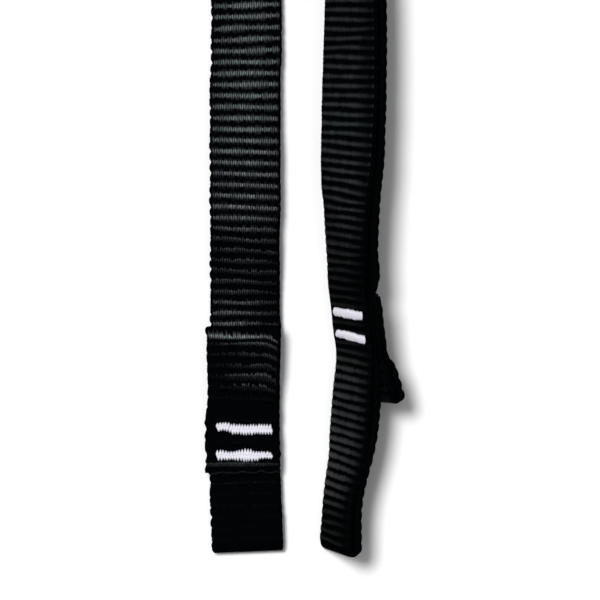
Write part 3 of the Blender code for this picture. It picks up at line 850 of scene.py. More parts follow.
@dataclass(frozen=True)
class StripMesher:
    """Turns strips into closed meshes on the route.

    Attributes:
        square_end: how far from a strip's ends its ribs begin to stand square again.
    """

    route: ChainRoute
    square_end: float = 0.004

    def build(
        self, name: str, strip: Strip, fineness: Fineness, seed: int, straight_from: float = math.inf
    ) -> Object:
        """Makes one strip: its rings stand square on its path, evenly through each rib.

        Args:
            name: the object's name.
            strip: its shape.
            fineness: how finely it is meshed.
            seed: picks its small irregularities.
            straight_from: past this distance along the strap it runs straight.

        Returns:
            The object, mapped in yarn pairs and ribs, with the attributes "floats" and "polish".
        """
        run = lengths(strip.path)
        phases, to_crest = strip.phases(run)
        ribs = np.append(np.arange(0, phases[-1], 1 / fineness.value[0])[:-1], phases[-1])
        at = np.interp(ribs, phases, run)
        ribs = ribs + to_crest
        values = {key: np.interp(at, run, getattr(strip, key))[:, None] for key in strip.PROFILES}
        rings = Rings(ribs[:, None], *fineness.section(), SimpleNamespace(**values), seed)
        across, height = rings.outline()
        pairs = self.pairs(across, height)
        height = height + rings.rise(pairs[:-1] if fineness is Fineness.NEAR else None)
        across = across + rings.sideways(strip.knobs)
        to_end = np.minimum(at, run[-1] - at)[:, None]
        trail = rings.trail(across) * np.clip(to_end / self.square_end, 0, 1)
        s, n = read_rows(at, run, strip.path).T[..., None]
        lead = unit(read_rows(at, run, np.gradient(strip.path, run, axis=0)))
        lead_s, lead_n = lead.T[..., None]
        along, up = s + lead_s * trail - lead_n * height, n + lead_n * trail + lead_s * height
        points = self.route.place(along, up, across, straight_from)
        obj = tube_object(name, points[None], (pairs, ribs))
        floats = woven("floats", values["back"]) * (1 - 0.20 * values["fuzz"])
        for key, column in (("floats", floats), ("polish", rings.polish(strip.hidden))):
            made = obj.data.attributes.new(key, "FLOAT", "POINT")
            full = np.broadcast_to(column, across.shape)
            made.data.foreach_set("value", full.astype(np.float32).ravel())
        return obj

    @staticmethod
    def pairs(across: Array, height: Array) -> Array:
        """Distance round the mean ring in yarn pairs: the sum of the steps before each point.

        Args:
            across: the places across, rings by points.
            height: their heights.

        Returns:
            The distance of each point of a ring, and of the first one again.
        """
        ring = np.stack([across, height])
        ring = np.append(ring, ring[..., :1], axis=-1)
        parts = np.hypot(*np.diff(ring, axis=-1)).mean(axis=0)
        return np.concatenate([[0], np.cumsum(parts)]) / YARN_PAIR


@dataclass(frozen=True)
class Signal:
    """A value in a shader graph, at an output socket. Arithmetic with it adds math nodes."""

    graph: "ShaderGraph"
    socket: NodeSocket

    def __add__(self, other: "Signal | float") -> "Signal":
        """The sum."""
        return self.graph.math("ADD", self, other)

    def __sub__(self, other: "Signal | float") -> "Signal":
        """The difference."""
        return self.graph.math("SUBTRACT", self, other)

    def __rsub__(self, other: float) -> "Signal":
        """A number less the signal."""
        return self.graph.math("SUBTRACT", other, self)

    def __mul__(self, other: "Signal | float") -> "Signal":
        """The product."""
        return self.graph.math("MULTIPLY", self, other)

    def __truediv__(self, other: "Signal | float") -> "Signal":
        """The quotient."""
        return self.graph.math("DIVIDE", self, other)

    def __pow__(self, other: "Signal | float") -> "Signal":
        """The power."""
        return self.graph.math("POWER", self, other)


@dataclass(frozen=True)
class ShaderGraph:
    """Builds the nodes of a material, a world or a node group."""

    tree: NodeTree

    def feed(self, node: Node, inputs: dict) -> None:
        """Links each signal to a node's input, and sets each other value.

        Args:
            node: the node.
            inputs: signals or values by input.
        """
        for key, value in inputs.items():
            if isinstance(value, Signal):
                self.tree.links.new(value.socket, node.inputs[key])
            else:
                node.inputs[key].default_value = value

    def add(
        self, kind: str, inputs: dict | None = None, output: int | str = 0, **settings: object
    ) -> Signal:
        """Adds a node.

        Args:
            kind: its type, without the leading ShaderNode.
            inputs: signals or values by input.
            output: which output to use.
            settings: its own properties.

        Returns:
            The output's signal.
        """
        node = self.tree.nodes.new("ShaderNode" + kind)
        for key, value in settings.items():
            setattr(node, key, value)
        self.feed(node, inputs or {})
        return Signal(self, node.outputs[output])

    def math(self, operation: str, *values: Signal | float, clamp: bool = False) -> Signal:
        """Adds a math node for one to three values."""
        return self.add("Math", dict(enumerate(values)), operation=operation, use_clamp=clamp)

    def fade(self, value: Signal, near: Signal | float, far: Signal | float) -> Signal:
        """1 up to near, 0 past far, and a smooth step between them."""
        span = {"Value": value, "From Min": near, "From Max": far, "To Min": 1.0, "To Max": 0.0}
        return self.add("MapRange", span, interpolation_type="SMOOTHSTEP")

    def noise(self, x: Signal, y: Signal, scale: float = 1.0, detail: float = 2.0) -> Signal:
        """Soft noise over a plane, about 0.5."""
        inputs = {"Vector": self.add("CombineXYZ", {0: x, 1: y}), "Scale": scale, "Detail": detail}
        return self.add("TexNoise", inputs, "Fac", noise_dimensions="2D")

    def uv(self) -> tuple[Signal, Signal]:
        """The two parts of the UV map."""
        u = self.add("SeparateXYZ", {0: self.add("UVMap", uv_map="UVMap")})
        return u, Signal(self, u.socket.node.outputs[1])


def principled(name: str) -> tuple[Material, ShaderGraph, Node]:
    """Makes a material.

    Args:
        name: its name.

    Returns:
        The material, its graph and its Principled node.
    """
    made = bpy.data.materials.new(name)
    made.use_nodes = True
    return made, ShaderGraph(made.node_tree), made.node_tree.nodes["Principled BSDF"]


class YarnPattern:
    """The webbing's yarns and the painted highlight along its rib crests, worked out in a node group.

    It has the inputs Pairs and Ribs, from the UV map, and Floats and Polish, from the attributes,
    and the outputs Height, for the bump of the yarns, and Shine.
    """

    INPUTS = ("Pairs", "Ribs", "Floats", "Polish")

    def __init__(self) -> None:
        """Makes the group and the values that its formulas share.

        The pairs drift a little. A place is within its rib by the fraction of the rib phase, less
        a half, and its faded sheen is 1 less its painted sheen, times 1 or, where yarns float, up to 1.4.
        """
        self.tree = bpy.data.node_groups.new("yarn_pattern", "ShaderNodeTree")
        for name in self.INPUTS:
            self.tree.interface.new_socket(name, in_out="INPUT", socket_type="NodeSocketFloat")
        for name in ("Height", "Shine"):
            self.tree.interface.new_socket(name, in_out="OUTPUT", socket_type="NodeSocketFloat")
        self.graph = graph = ShaderGraph(self.tree)
        source = self.tree.nodes.new("NodeGroupInput").outputs
        plain_pairs, self.ribs, self.floats, polish = (
            Signal(graph, source[name]) for name in self.INPUTS
        )
        drift = graph.noise(plain_pairs, self.ribs * 2.0, 1.1, 1.5)
        self.pairs = (drift - 0.5) * 0.35 + plain_pairs
        self.rib = graph.math("FLOOR", self.ribs)
        self.within = graph.math("FRACT", self.ribs) - 0.5
        self.faded_sheen = graph.math("MULTIPLY_ADD", polish, self.floats * -0.4 - 1.0, 1.0, clamp=True)
        self.wisp = graph.noise(plain_pairs * 0.40, self.rib * 2.3) - 0.5
        strand = graph.math("FLOOR", self.pairs * 2.0)
        key = graph.add("CombineXYZ", {0: strand, 1: self.rib})
        self.tone = graph.add("TexWhiteNoise", {"Vector": key}, "Value", noise_dimensions="2D")
        out = self.tree.nodes.new("NodeGroupOutput")
        height = self.height()
        fibre = graph.noise(self.pairs * 14.0, self.ribs * 2.5)
        raised = fibre * 0.16 + height * 0.84
        graph.feed(out, {"Height": raised * self.floats, "Shine": self.shine(height)})

    def height(self) -> Signal:
        """Height of a leaning yarn: 1 less the square of the way out from its middle.

        Returns:
            The height.
        """
        cell = self.graph.math("ABSOLUTE", self.graph.math("FRACT", self.pairs) - 0.5)
        off = (cell - (self.within * YARN_LEAN + 0.25)) / 0.25
        return self.graph.math("SUBTRACT", 1.0, off * off, clamp=True)

    def crest(self) -> Signal:
        """The painted highlight on the rib's crest: it differs from yarn to yarn, narrows as the painted sheen fades,
        and fades out into painted shade in the groove.

        Returns:
            1 on the crest, 0 off it.
        """
        plain = 1.0 - self.floats
        ragged = self.faded_sheen * -0.55 + 1.0
        level = self.graph.math("ABSOLUTE", self.within) * 2.0
        jitter = (self.tone - 0.5) * (self.floats * 0.85) * ragged
        narrow = self.faded_sheen * (plain * -0.75 + 0.63) + plain * 0.12
        off = level + jitter + narrow + self.wisp * (ragged * 0.3)
        crest = self.graph.fade(off, self.floats * 0.75 - 0.17, self.floats * 0.10 + 0.75)
        # Painted shade in the groove: the highlight fades out towards it
        return crest * self.graph.fade(level, 0.70, 0.92)

    def shine(self, height: Signal) -> Signal:
        """The painted highlight of a place: its crest's, with painted shade between the yarns, times how it varies at
        random.

        Args:
            height: of the yarns.

        Returns:
            The painted highlight.
        """
        # Painted shade between the yarns, deeper where the painted sheen has faded
        gap = self.floats * (1.0 - height ** (self.faded_sheen * 3.0 + 1.0))
        vary = (self.tone - 0.4) * (self.floats * 0.8) + 1.0
        patchy = self.wisp * (self.faded_sheen * self.floats * -1.2 - 0.7) + 1.0
        return self.crest() * (1.0 - gap) * (vary * patchy)


@dataclass(frozen=True)
class WebbingFinish:
    """The dyed nylon of the webbing.

    Attributes:
        colour: the dye, linear.
        face_tint: the colour of its shine where yarns float over the ribs.
        back_tint: the same where the weave is flat and plain.
        roughness: of the yarns' surface.
        face_gloss: how much the top of a yarn reflects where yarns float over the ribs.
        back_gloss: the same where the weave is flat and plain.
        relief: how deep the bump of a yarn is.
    """

    colour: tuple = (0.0006, 0.0011, 0.0013, 1.0)
    face_tint: tuple = (0.87, 0.97, 1.0, 1.0)
    back_tint: tuple = (0.77, 0.96, 1.0, 1.0)
    roughness: float = 0.44
    face_gloss: float = 0.46
    back_gloss: float = 0.78
    relief: float = 0.000035

    def material(self, pattern: YarnPattern) -> Material:
        """Makes the material: its specular level is the pattern's painted highlight by the painted sheen by the
        weave's own gloss.

        Args:
            pattern: the yarn pattern.

        Returns:
            The material.
        """
        made, graph, shader = principled("black_webbing")
        pairs, ribs = graph.uv()
        floats = graph.add("Attribute", None, "Fac", attribute_name="floats")
        polish = graph.add("Attribute", None, "Fac", attribute_name="polish")
        height = graph.add("Group", None, "Height", node_tree=pattern.tree)
        group = height.socket.node
        graph.feed(group, {"Pairs": pairs, "Ribs": ribs, "Floats": floats, "Polish": polish})
        # Painted highlight and shade: the crest mask times the painted sheen sets each place's specular level
        shine = Signal(graph, group.outputs["Shine"]) * polish
        gloss = floats * (self.face_gloss - self.back_gloss) + self.back_gloss
        tints = {0: floats, 6: self.back_tint, 7: self.face_tint}
        bump = {"Strength": 1.0, "Distance": self.relief, "Height": height}
        graph.feed(shader, {
            "Base Color": self.colour,
            "Roughness": self.roughness,
            "Specular Tint": graph.add("Mix", tints, 2, data_type="RGBA"),
            "Specular IOR Level": shine * gloss,
            "Normal": graph.add("Bump", bump),
        })
        return made


@dataclass(frozen=True)
class ThreadFinish:
    """The white polyester of the bar tacks, with its twist and painted shade in the groove between its plies.

    Attributes:
        twist: how deep the groove between two plies is.
        turns: how often the plies turn round a stitch and along it.
        shade: how much darker the groove between two plies is painted, as painted shade.
    """

    colour: tuple = (0.80, 0.79, 0.87)
    roughness: float = 0.50
    twist: float = 0.000035
    sheen: float = 0.2
    turns: tuple = (2.0, 4.5)
    shade: float = 0.22

    def material(self) -> Material:
        """Makes the material: the plies are a sine wave that winds round the stitch, and the groove between them is
        painted darker as shade.

        Returns:
            The material.
        """
        made, graph, shader = principled("white_thread")
        u, v = graph.uv()
        turn = u * self.turns[0] + v * self.turns[1]
        ply = graph.math("SINE", turn * (2 * math.pi)) * 0.5 + 0.5
        # Painted shade: the thread's colour is darkened in the groove between the plies
        thread_colour_and_groove_shade = {0: self.colour, "Scale": ply * self.shade + (1 - self.shade)}
        bump = {"Strength": 0.8, "Distance": self.twist, "Height": ply}
        graph.feed(shader, {
            "Base Color": graph.add("VectorMath", thread_colour_and_groove_shade, operation="SCALE"),
            "Roughness": self.roughness,
            "Sheen Weight": self.sheen,
            "Normal": graph.add("Bump", bump),
        })
        return made


@dataclass(frozen=True)
class MeltFinish:
    """Nylon melted along a cut end.

    Attributes:
        lumps: how many lumps it has to a metre.
        depth: how deep they are.
    """

    colour: tuple = (0.0008, 0.0013, 0.0015, 1.0)
    roughness: float = 0.50
    gloss: float = 0.05
    lumps: float = 1400.0
    depth: float = 0.0002

    def material(self) -> Material:
        """Makes the material: noise as its bump.

        Returns:
            The material.
        """
        made, graph, shader = principled("melted_nylon")
        place = graph.add("TexCoord", None, "Object")
        noise = graph.add("TexNoise", {"Vector": place, "Scale": self.lumps, "Detail": 2.0}, "Fac")
        bump = {"Strength": 0.6, "Distance": self.depth, "Height": noise}
        graph.feed(shader, {
            "Base Color": self.colour,
            "Roughness": self.roughness,
            "Specular IOR Level": self.gloss,
            "Normal": graph.add("Bump", bump),
        })
        return made


@dataclass(frozen=True)
class FloorFinish:
    """The floor's white: a bright one that the camera sees and a duller one for all other rays."""

    shown: tuple = (0.86, 0.86, 0.86, 1)
    lit: tuple = (0.45, 0.45, 0.45, 1)

    def material(self) -> Material:
        """Makes the material: matt, with one colour for camera rays and one for the others.

        Returns:
            The material.
        """
        made, graph, shader = principled("white_floor")
        seen = graph.add("LightPath", None, "Is Camera Ray")
        shade = graph.add("Mix", {0: seen, 6: self.lit, 7: self.shown}, 2, data_type="RGBA")
        graph.feed(shader, {"Base Color": shade, "Roughness": 1.0, "Specular IOR Level": 0.0})
        return made


@dataclass(frozen=True)
class Pockets:
    """The doubled strap: a front and a back strip from each junction to the next, and two eyes.

    Attributes:
        seam_at: how far past a junction's centre one strip ends and the next starts.
        flex_spread: how far a pocket's bend reaches on either side of its hinge.
        eye_flex: how far an eye's bend reaches towards its junction and towards its tip.
    """

    mesher: StripMesher
    surface: Material
    seam_at: float = BAR_SPACING / 2
    flex_spread: float = 0.0120
    eye_flex: tuple = (0.004, 0.006)

    def build(self) -> None:
        """Makes every strip and lets it bend with the two bodies that it joins."""
        self.clip_in_eye()
        for number in range(1, JUNCTIONS):
            for side in Side:
                self.pocket(number, side)
        self.harness_eye()

    def pocket(self, number: int, side: Side) -> None:
        """Makes one layer of one pocket.

        Args:
            number: the junction before it.
            side: which layer.
        """
        start, end = junction_s(number) + self.seam_at, junction_s(number + 1) + self.seam_at
        s = np.arange(start, end + PATH_STEP / 2, PATH_STEP)
        middle, half = layer_at(s)
        front = side is Side.FRONT
        path = np.column_stack([s, side * middle])
        strip = Strip(path, half, back=float(not front), hidden=Side(-side))
        strip.width = strip.width + 0.00006 * wander(s, 31 * number + side, 0.006)
        last = number == JUNCTIONS - 1
        if last and front:
            self.last_front(strip, s - junction_s(JUNCTIONS))
        elif last:
            self.last_back(strip, s - junction_s(JUNCTIONS))
        else:
            past = s - junction_s(number)
            lean_in = 0.00012 * window(past, 0.025, 0.006, 0.056, 0.008)
            strip.width = strip.width - lean_in
            strip.shift = 0.0003 * window(past, 0.082, 0.006, 0.108, 0.008) - lean_in
            if front:
                self.worn_front(strip, past)
                strip.crest = junction_s(number) + 0.0293
        fineness = Fineness.NEAR if (number == 1 and front) or (last and not front) else Fineness.FAR
        layer = side.name.lower()
        name = f"{layer}_webbing_{number}"
        obj = self.mesher.build(name, strip, fineness, 10 * number + side)
        bend, point = junction_s(number) + PITCH / 2, self.mesher.route.point
        ends = point(bend - self.flex_spread), point(bend + self.flex_spread)
        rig.blend(obj, f"link_{number}", f"link_{number + 1}", start=ends[0], end=ends[1])
        dress(obj, self.surface, "webbing", f"{layer}_strap_{number}")

    @staticmethod
    def worn_front(strip: Strip, past: Array) -> None:
        """A used pocket's front: it bulges up, has painted highlight along its middle and has slanted ribs.

        Args:
            strip: the layer to change.
            past: its distance past its junction.
        """
        strip.path[:, 1] += steps(past, 0, (0.0019, 0.032, 0.018), (-0.0019, 0.060, 0.035))
        # Painted highlight and painted shade along the pocket, standing in for how the light falls on it
        polish = ((0.49, 0.044, 0.010), (-0.20, 0.060, 0.012), (0.16, 0.0335, -0.0025))
        strip.polish = steps(past, 0.47, *polish)
        strip.stretch = steps(past, 0.95, (0.055, 0.049, 0.006), (0.02, 0.072, 0.012))
        strip.fuzz = ease((past - 0.060) / 0.012)
        strip.relief = 1 - 0.35 * strip.fuzz
        # Painted side sheen: the left half brighter before 40 mm past the junction
        strip.tilt = -0.5 * ease((0.040 - past) / 0.004)
        strip.slope = through(FACE_RIB_SLOPE, past)
        strip.bow = 0.00030 * window(past, 0.038, 0.015, 0.080, 0.015)

    def last_back(self, strip: Strip, past: Array) -> None:
        """The back of the last pocket, which shows: painted highlight, slanted ribs, and painted shade at its end.

        Args:
            strip: the layer to change.
            past: its distance past the last junction.
        """
        strip.slope = through(HARNESS_RIB_SLOPE, past)
        # Painted highlight, falling to painted shade towards the pocket's end
        strip.polish = steps(past, 1.15, (0.40, -0.060, 0.012), (-1.45, -0.0275, 0.0195))
        strip.stretch = steps(past, 1.037, (-0.070, -0.034, 0.008))
        strip.crest = junction_s(JUNCTIONS) - 0.0436
        strip.widen(0.00035 * hump(past, 0.0, 0.0180))
        strip.path[:, 1] -= 0.00045 * window(past, -0.102, 0.012, -0.026, 0.006)
        strip.path[:, 1] -= 0.00040 * hump(past, -0.0085, 0.0065)

    @staticmethod
    def last_front(strip: Strip, past: Array) -> None:
        """The front of the last pocket, of which an edge shows: flatter, in shallow swells.

        Args:
            strip: the layer to change.
            past: its distance past the last junction.
        """
        strip.relief = strip.relief * 0.5
        for height, centre, reach in (
            (0.0009, -0.0170, 0.0150), (0.0011, -0.0108, 0.0065), (0.00025, -0.0360, 0.0180),
        ):
            strip.path[:, 1] += height * hump(past, centre, reach)

    def eye_strip(self, number: int, tip: float) -> Strip:
        """A strip out from a junction as the face, round a half circle and back as the back.

        Args:
            number: the junction.
            tip: where the eye's tip is along the strap.

        Returns:
            The strip.
        """
        root = junction_s(number) + self.seam_at
        side = 1 if tip > root else -1
        full = WEB_THICKNESS / 2
        radius = (LAYER_GAP + POCKET_SLACK) / 2 + full
        reach = abs(tip - root) - radius - full
        out = np.linspace(0, reach, int(reach / PATH_STEP))
        s = root + side * out
        middle, half = layer_at(s)
        settle = ease((out - (reach - 0.012)) / 0.010)
        middle = middle + (radius - middle) * settle
        half = half + (full - half) * settle
        turn = np.radians(np.linspace(90, -90, int(math.pi * radius / PATH_STEP))[1:-1])
        bend = np.column_stack([s[-1] + side * radius * np.cos(turn), radius * np.sin(turn)])
        path = np.vstack([np.column_stack([s, middle]), bend, np.column_stack([s, -middle])[::-1]])
        halves = np.concatenate([half, np.full(len(turn), full), half[::-1]])
        back = ease(np.linspace(0, 1, len(path)) * 12 - 5.5)
        return Strip(path, halves, back=back, hidden=Side(-side))

    def clip_in_eye(self) -> None:
        """The first eye: painted shade and pressed flat towards its tip, and a little wider there."""
        strip = self.eye_strip(1, 0.0)
        out_by = np.abs(strip.path[:, 0] - junction_s(1) - self.seam_at)
        # sheen_falloff: towards the tip the painted sheen falls to painted shade, the ribs are pressed flat and the
        # eye widens
        sheen_falloff = ease((out_by - 0.0120) / 0.0030)
        # Painted shade towards the tip, with a band of painted highlight next to the junction
        strip.polish = 0.05 - 0.042 * sheen_falloff + 0.24 * ease((0.0125 - out_by) / 0.0020)
        strip.relief = 1 - 0.85 * sheen_falloff
        strip.width = strip.width + 0.00010 * sheen_falloff
        strip.shift = 0.00014 * ease((out_by - 0.009) / 0.002) - 0.00010 * sheen_falloff
        strip.crest, strip.crest_pass = junction_s(1) - 0.0070, 0
        self.finish_eye("clip_in_bight", strip, 1, "eye_1", "clip_in_eye")

    def harness_eye(self) -> None:
        """The last eye: its back shows, with painted highlight in its middle, and its layers lie a little apart."""
        strip = self.eye_strip(JUNCTIONS, CHAIN_LENGTH)
        past, back = strip.path[:, 0] - junction_s(JUNCTIONS), strip.back
        strip.path[:, 1] -= 0.00030 * back * hump(past, 0.0170, 0.0160)
        strip.widen(0.00035 * back * hump(past, 0.0, 0.0120))
        strip.shift = strip.shift + 0.00050 * back * window(past, 0.026, 0.006, 0.050, 0.006)
        strip.shift = strip.shift - 0.00070 * (1 - back) * hump(past, 0.0350, 0.0130)
        strip.slope = -back * through(HARNESS_RIB_SLOPE, past)
        # Painted highlight from just past the junction, falling to painted shade towards the tip
        strip.polish = steps(past, 0.10, (1.50, 0.0045, 0.0075))
        strip.polish = strip.polish * steps(past, 1, (-0.975, 0.0275, 0.0165))
        strip.crest = junction_s(JUNCTIONS) + 0.0206
        strip.relief = 0.5 + 0.5 * back
        last = JUNCTIONS
        nodes = ("harness_eye", f"front_strap_{last}", f"back_strap_{last}")
        self.finish_eye("harness_bight", strip, last, "eye_2", *nodes)

    def finish_eye(self, name: str, strip: Strip, number: int, body: str, *nodes: str) -> None:
        """Makes an eye's strip and lets it bend beside its junction.

        Args:
            name: the object's name.
            strip: its shape.
            number: its junction.
            body: the eye's body.
            nodes: the solids that it stands for.
        """
        obj = self.mesher.build(name, strip, Fineness.MIDDLE, 200 + number)
        side, point = -strip.hidden, self.mesher.route.point
        hinge = link_ends(number)[0 if side < 0 else 1]
        start, end = hinge - side * self.eye_flex[0], hinge + side * self.eye_flex[1]
        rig.blend(obj, f"link_{number}", body, start=point(start), end=point(end))
        dress(obj, self.surface, "webbing", *nodes)


@dataclass(frozen=True)
class ClipLoop:
    """One clip loop: a folded strip from its cut ends, under the bar tacks, to its fold.

    Attributes:
        number: its junction.
        seen: if the photograph shows its face.
        pressed: how much flatter its fold is pressed.
        settled: the share of its length over which it opens to its full bulge.
        steeper: how many degrees more than its angle it stands off the strap.
        longer: how much further its fold reaches.
        flex: how far its bend reaches before its hinge and after it.
    """

    number: int
    seen: bool = False
    pressed: float = 0.0
    settled: float = 0.75
    steeper: float = 0.0
    longer: float = 0.0
    flex: tuple = (0.0012, 0.0040)

    @property
    def centre(self) -> float:
        """Where its junction's centre is along the strap."""
        return junction_s(self.number)

    def path(self) -> tuple[Array, Array]:
        """The loop's middle line: out, round a half circle and back, then turned by its angle.

        Both sides swell from the sewn thickness to the full one and get thin at the cut ends, and
        the outer side bulges.

        Returns:
            The (s, n) points, and half the thickness at each.
        """
        lift = (SEWN_THICKNESS + LAYER_GAP) / 2
        full = WEB_THICKNESS / 2
        tail = -(LOOP_AXIS + BASE_TAIL - 0.0006)
        low_end = full - SEWN_PAIR / 2
        high_end = LAYER_GAP / 2 + LOOP_BULGE - self.pressed + full
        radius = (high_end - low_end) / 2
        reach = loop_length(self.number) - radius - full + self.longer
        x = np.linspace(tail, reach, int((reach - tail) / PATH_STEP))
        grow = ease(x / SWELL_LENGTH)
        thin = (SEWN_THICKNESS - CUT_END_THICKNESS) * ease((tail + CUT_END_MARGIN - x) / CUT_END_MARGIN)
        half = (SEWN_THICKNESS + (WEB_THICKNESS - SEWN_THICKNESS) * grow - thin) / 2
        inner = -lift + (low_end + lift) * grow - thin / 2
        outer = lift + (high_end - lift) * ease(x / (reach * self.settled)) - thin * 1.5
        turn = np.radians(np.linspace(-90, 90, int(math.pi * radius / PATH_STEP))[1:-1])
        bend_s, bend_n = reach + radius * np.cos(turn), low_end + radius + radius * np.sin(turn)
        s = np.concatenate([x, bend_s, x[::-1]])
        n = np.concatenate([inner, bend_n, outer[::-1]])
        halves = np.concatenate([half, np.full(len(turn), full), half[::-1]])
        full_turn = math.radians(LOOP_ANGLES[self.number - 1] + self.steeper)
        angle = full_turn * ease((s + 0.0015) / 0.005)
        turned_s = s * np.cos(angle) - n * np.sin(angle)
        turned_n = s * np.sin(angle) + n * np.cos(angle)
        return np.column_stack([turned_s + self.centre + LOOP_AXIS, turned_n + LOOP_PLANE]), halves

    def loop_shape_and_sheen(self, strip: Strip, past: Array) -> None:
        """The seen loop's looks: painted highlight on its fold and middle, a ragged tail, drooping ribs.

        Args:
            strip: the loop to change.
            past: its distance past its junction.
        """
        tip = ease((past - 0.0235) / 0.0020)
        strip.droop = -0.0015 * ease((past - 0.006) / 0.008)
        strip.shift = -0.00035 - 0.0002 * tip - 0.00018 * window(past, -0.001, 0.003, 0.0065, 0.003)
        waist = 0.00015 * ease((past - 0.005) / 0.004) + 0.00018 * hump(past, 0.0105, 0.0060)
        strip.width = strip.width + 0.0002 * tip - waist
        # Painted sheen along the loop: painted highlight on its middle and fold, painted shade elsewhere
        strip.polish = np.interp(past * 1000, *zip(*SEEN_LOOP_PAINTED_SHEEN))
        strip.stretch = steps(past, 1, (-0.43, 0.0222, 0.0004), (1.0, 0.0240, 0.0004))
        strip.relief = steps(past, 1, (-0.9, 0.0243, 0.0005), (1.8, -0.003, -0.001))
        strip.rough = steps(past, 0.00004, (0.00016, 0.0065, -0.0020))
        # Painted side sheen: the right half brighter along the loop's middle, the left half at its fold
        strip.tilt = 0.6 * window(past, 0.0095, 0.0020, 0.0235, 0.0010)
        strip.tilt -= 0.85 * ease((past - 0.0239) / 0.0008)
        strip.crest = self.centre + 0.0200

    def build(self, mesher: StripMesher, surface: Material, melt: Material) -> None:
        """Makes the loop, which bends about its hinge, and the melted ridge along its cut ends.

        Args:
            mesher: makes the strip.
            surface: the webbing's material.
            melt: the ridge's material.
        """
        path, halves = self.path()
        strip = Strip(path, halves, LOOP_WIDTH / 2, knobs=0.6, hidden=Side.FRONT)
        strip.width = strip.width + 0.00008 * wander(path[:, 0], 7 * self.number, 0.005)
        if self.seen:
            self.loop_shape_and_sheen(strip, path[:, 0] - self.centre)
        fineness = Fineness.NEAR if self.seen else Fineness.MIDDLE
        hinge, number, point = self.centre + LOOP_AXIS, self.number, mesher.route.point
        obj = mesher.build(f"loop_webbing_{number}", strip, fineness, 300 + number, hinge)
        start, end = point(hinge - self.flex[0], LOOP_PLANE), point(hinge + self.flex[1], LOOP_PLANE)
        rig.blend(obj, f"link_{number}", f"loop_{number}", start=start, end=end)
        dress(obj, surface, "webbing", f"loop_base_{number}", f"clip_loop_{number}")
        ridge = tube_object(f"sealed_end_{number}", self.ridge(mesher.route)[None])
        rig.ride(ridge, f"link_{number}")
        dress(ridge, melt, "webbing")

    def ridge(self, route: ChainRoute) -> Array:
        """The lumpy ridge of the melted cut ends: ellipses across the strap, small at both ends.

        Args:
            route: the chain's route.

        Returns:
            Its points, as rings by points by 3.
        """
        across = np.linspace(-1, 1, 90)
        turn = np.linspace(0, 2 * math.pi, 15)[:-1]
        coarse, fine, drift = (
            wander(across, base + self.number, scale)
            for base, scale in ((50, 0.09), (80, 0.03), (90, 0.12))
        )
        bulk = 1 + 0.22 * coarse + 0.12 * fine
        taper = np.sqrt(np.clip(1 - np.abs(across) ** 14, 0, 1)) * 0.96 + 0.04
        sealed_half = CUT_END_THICKNESS + LAYER_GAP / 2
        deep = 0.00050 * bulk * taper
        tall = (sealed_half + 0.00006) * (0.9 + 0.1 * bulk) * taper
        middle = self.centre - BASE_TAIL + 0.00055 - 0.00022 * drift
        s = middle[:, None] + deep[:, None] * np.cos(turn)
        n = LOOP_PLANE - SEWN_PAIR / 2 + sealed_half + tall[:, None] * np.sin(turn)
        a = np.broadcast_to((across * (LOOP_WIDTH / 2 - 0.0001))[:, None], s.shape)
        return route.place(s, n, a)


@dataclass(frozen=True)
class BarShape:
    """The outline of one bar tack, read along the bar from 0 to 1.

    Attributes:
        knots: (place, lower edge, upper edge) from the bar's centre line, in millimetres.
        tooth: how far each stitch is moved one way, and the next the other way, in millimetres.
        longer: how much further than usual its left end reaches, in millimetres.
    """

    knots: tuple
    tooth: float = 0.60
    longer: float = 0.0

    def edges(self, place: Array) -> tuple[Array, Array]:
        """The lower and upper edge in metres."""
        x, low, high = np.array(self.knots).T
        return np.interp(place, x, low) / 1000, np.interp(place, x, high) / 1000


SEEN_BARS = {
    (1, Row.FORE, Side.FRONT): BarShape((
        (0, -0.25, 1.18), (0.20, -0.25, 1.28), (0.27, -0.92, 0.85), (0.50, -0.98, 0.80),
        (1, -0.86, 0.80),
    )),
    (1, Row.REAR, Side.FRONT): BarShape((
        (0, -1.00, 0.90), (0.15, -0.82, 0.70), (0.27, -0.88, 0.55), (0.38, -0.90, 0.82),
        (0.50, -1.14, 1.00), (0.62, -1.18, 0.88), (0.71, -1.15, 0.53), (0.82, -0.76, 0.55),
        (1, -0.72, 0.48),
    )),
    (9, Row.REAR, Side.BACK): BarShape((
        (0, -1.10, 0.80), (0.20, -0.90, 0.99), (0.41, -0.88, 1.24), (0.55, -0.97, 1.24),
        (0.72, -0.78, 1.57), (0.85, -0.66, 1.38), (1, -0.50, 1.25),
    ), tooth=0.12, longer=0.55),
    (9, Row.FORE, Side.BACK): BarShape((
        (0, -1.95, -0.25), (0.23, -1.86, 0.10), (0.33, -2.00, 0.25), (0.50, -1.72, 0.55),
        (0.65, -1.50, 0.72), (0.75, -1.12, 0.95), (1, -0.85, 1.12),
    ), tooth=0.12, longer=0.55),
}


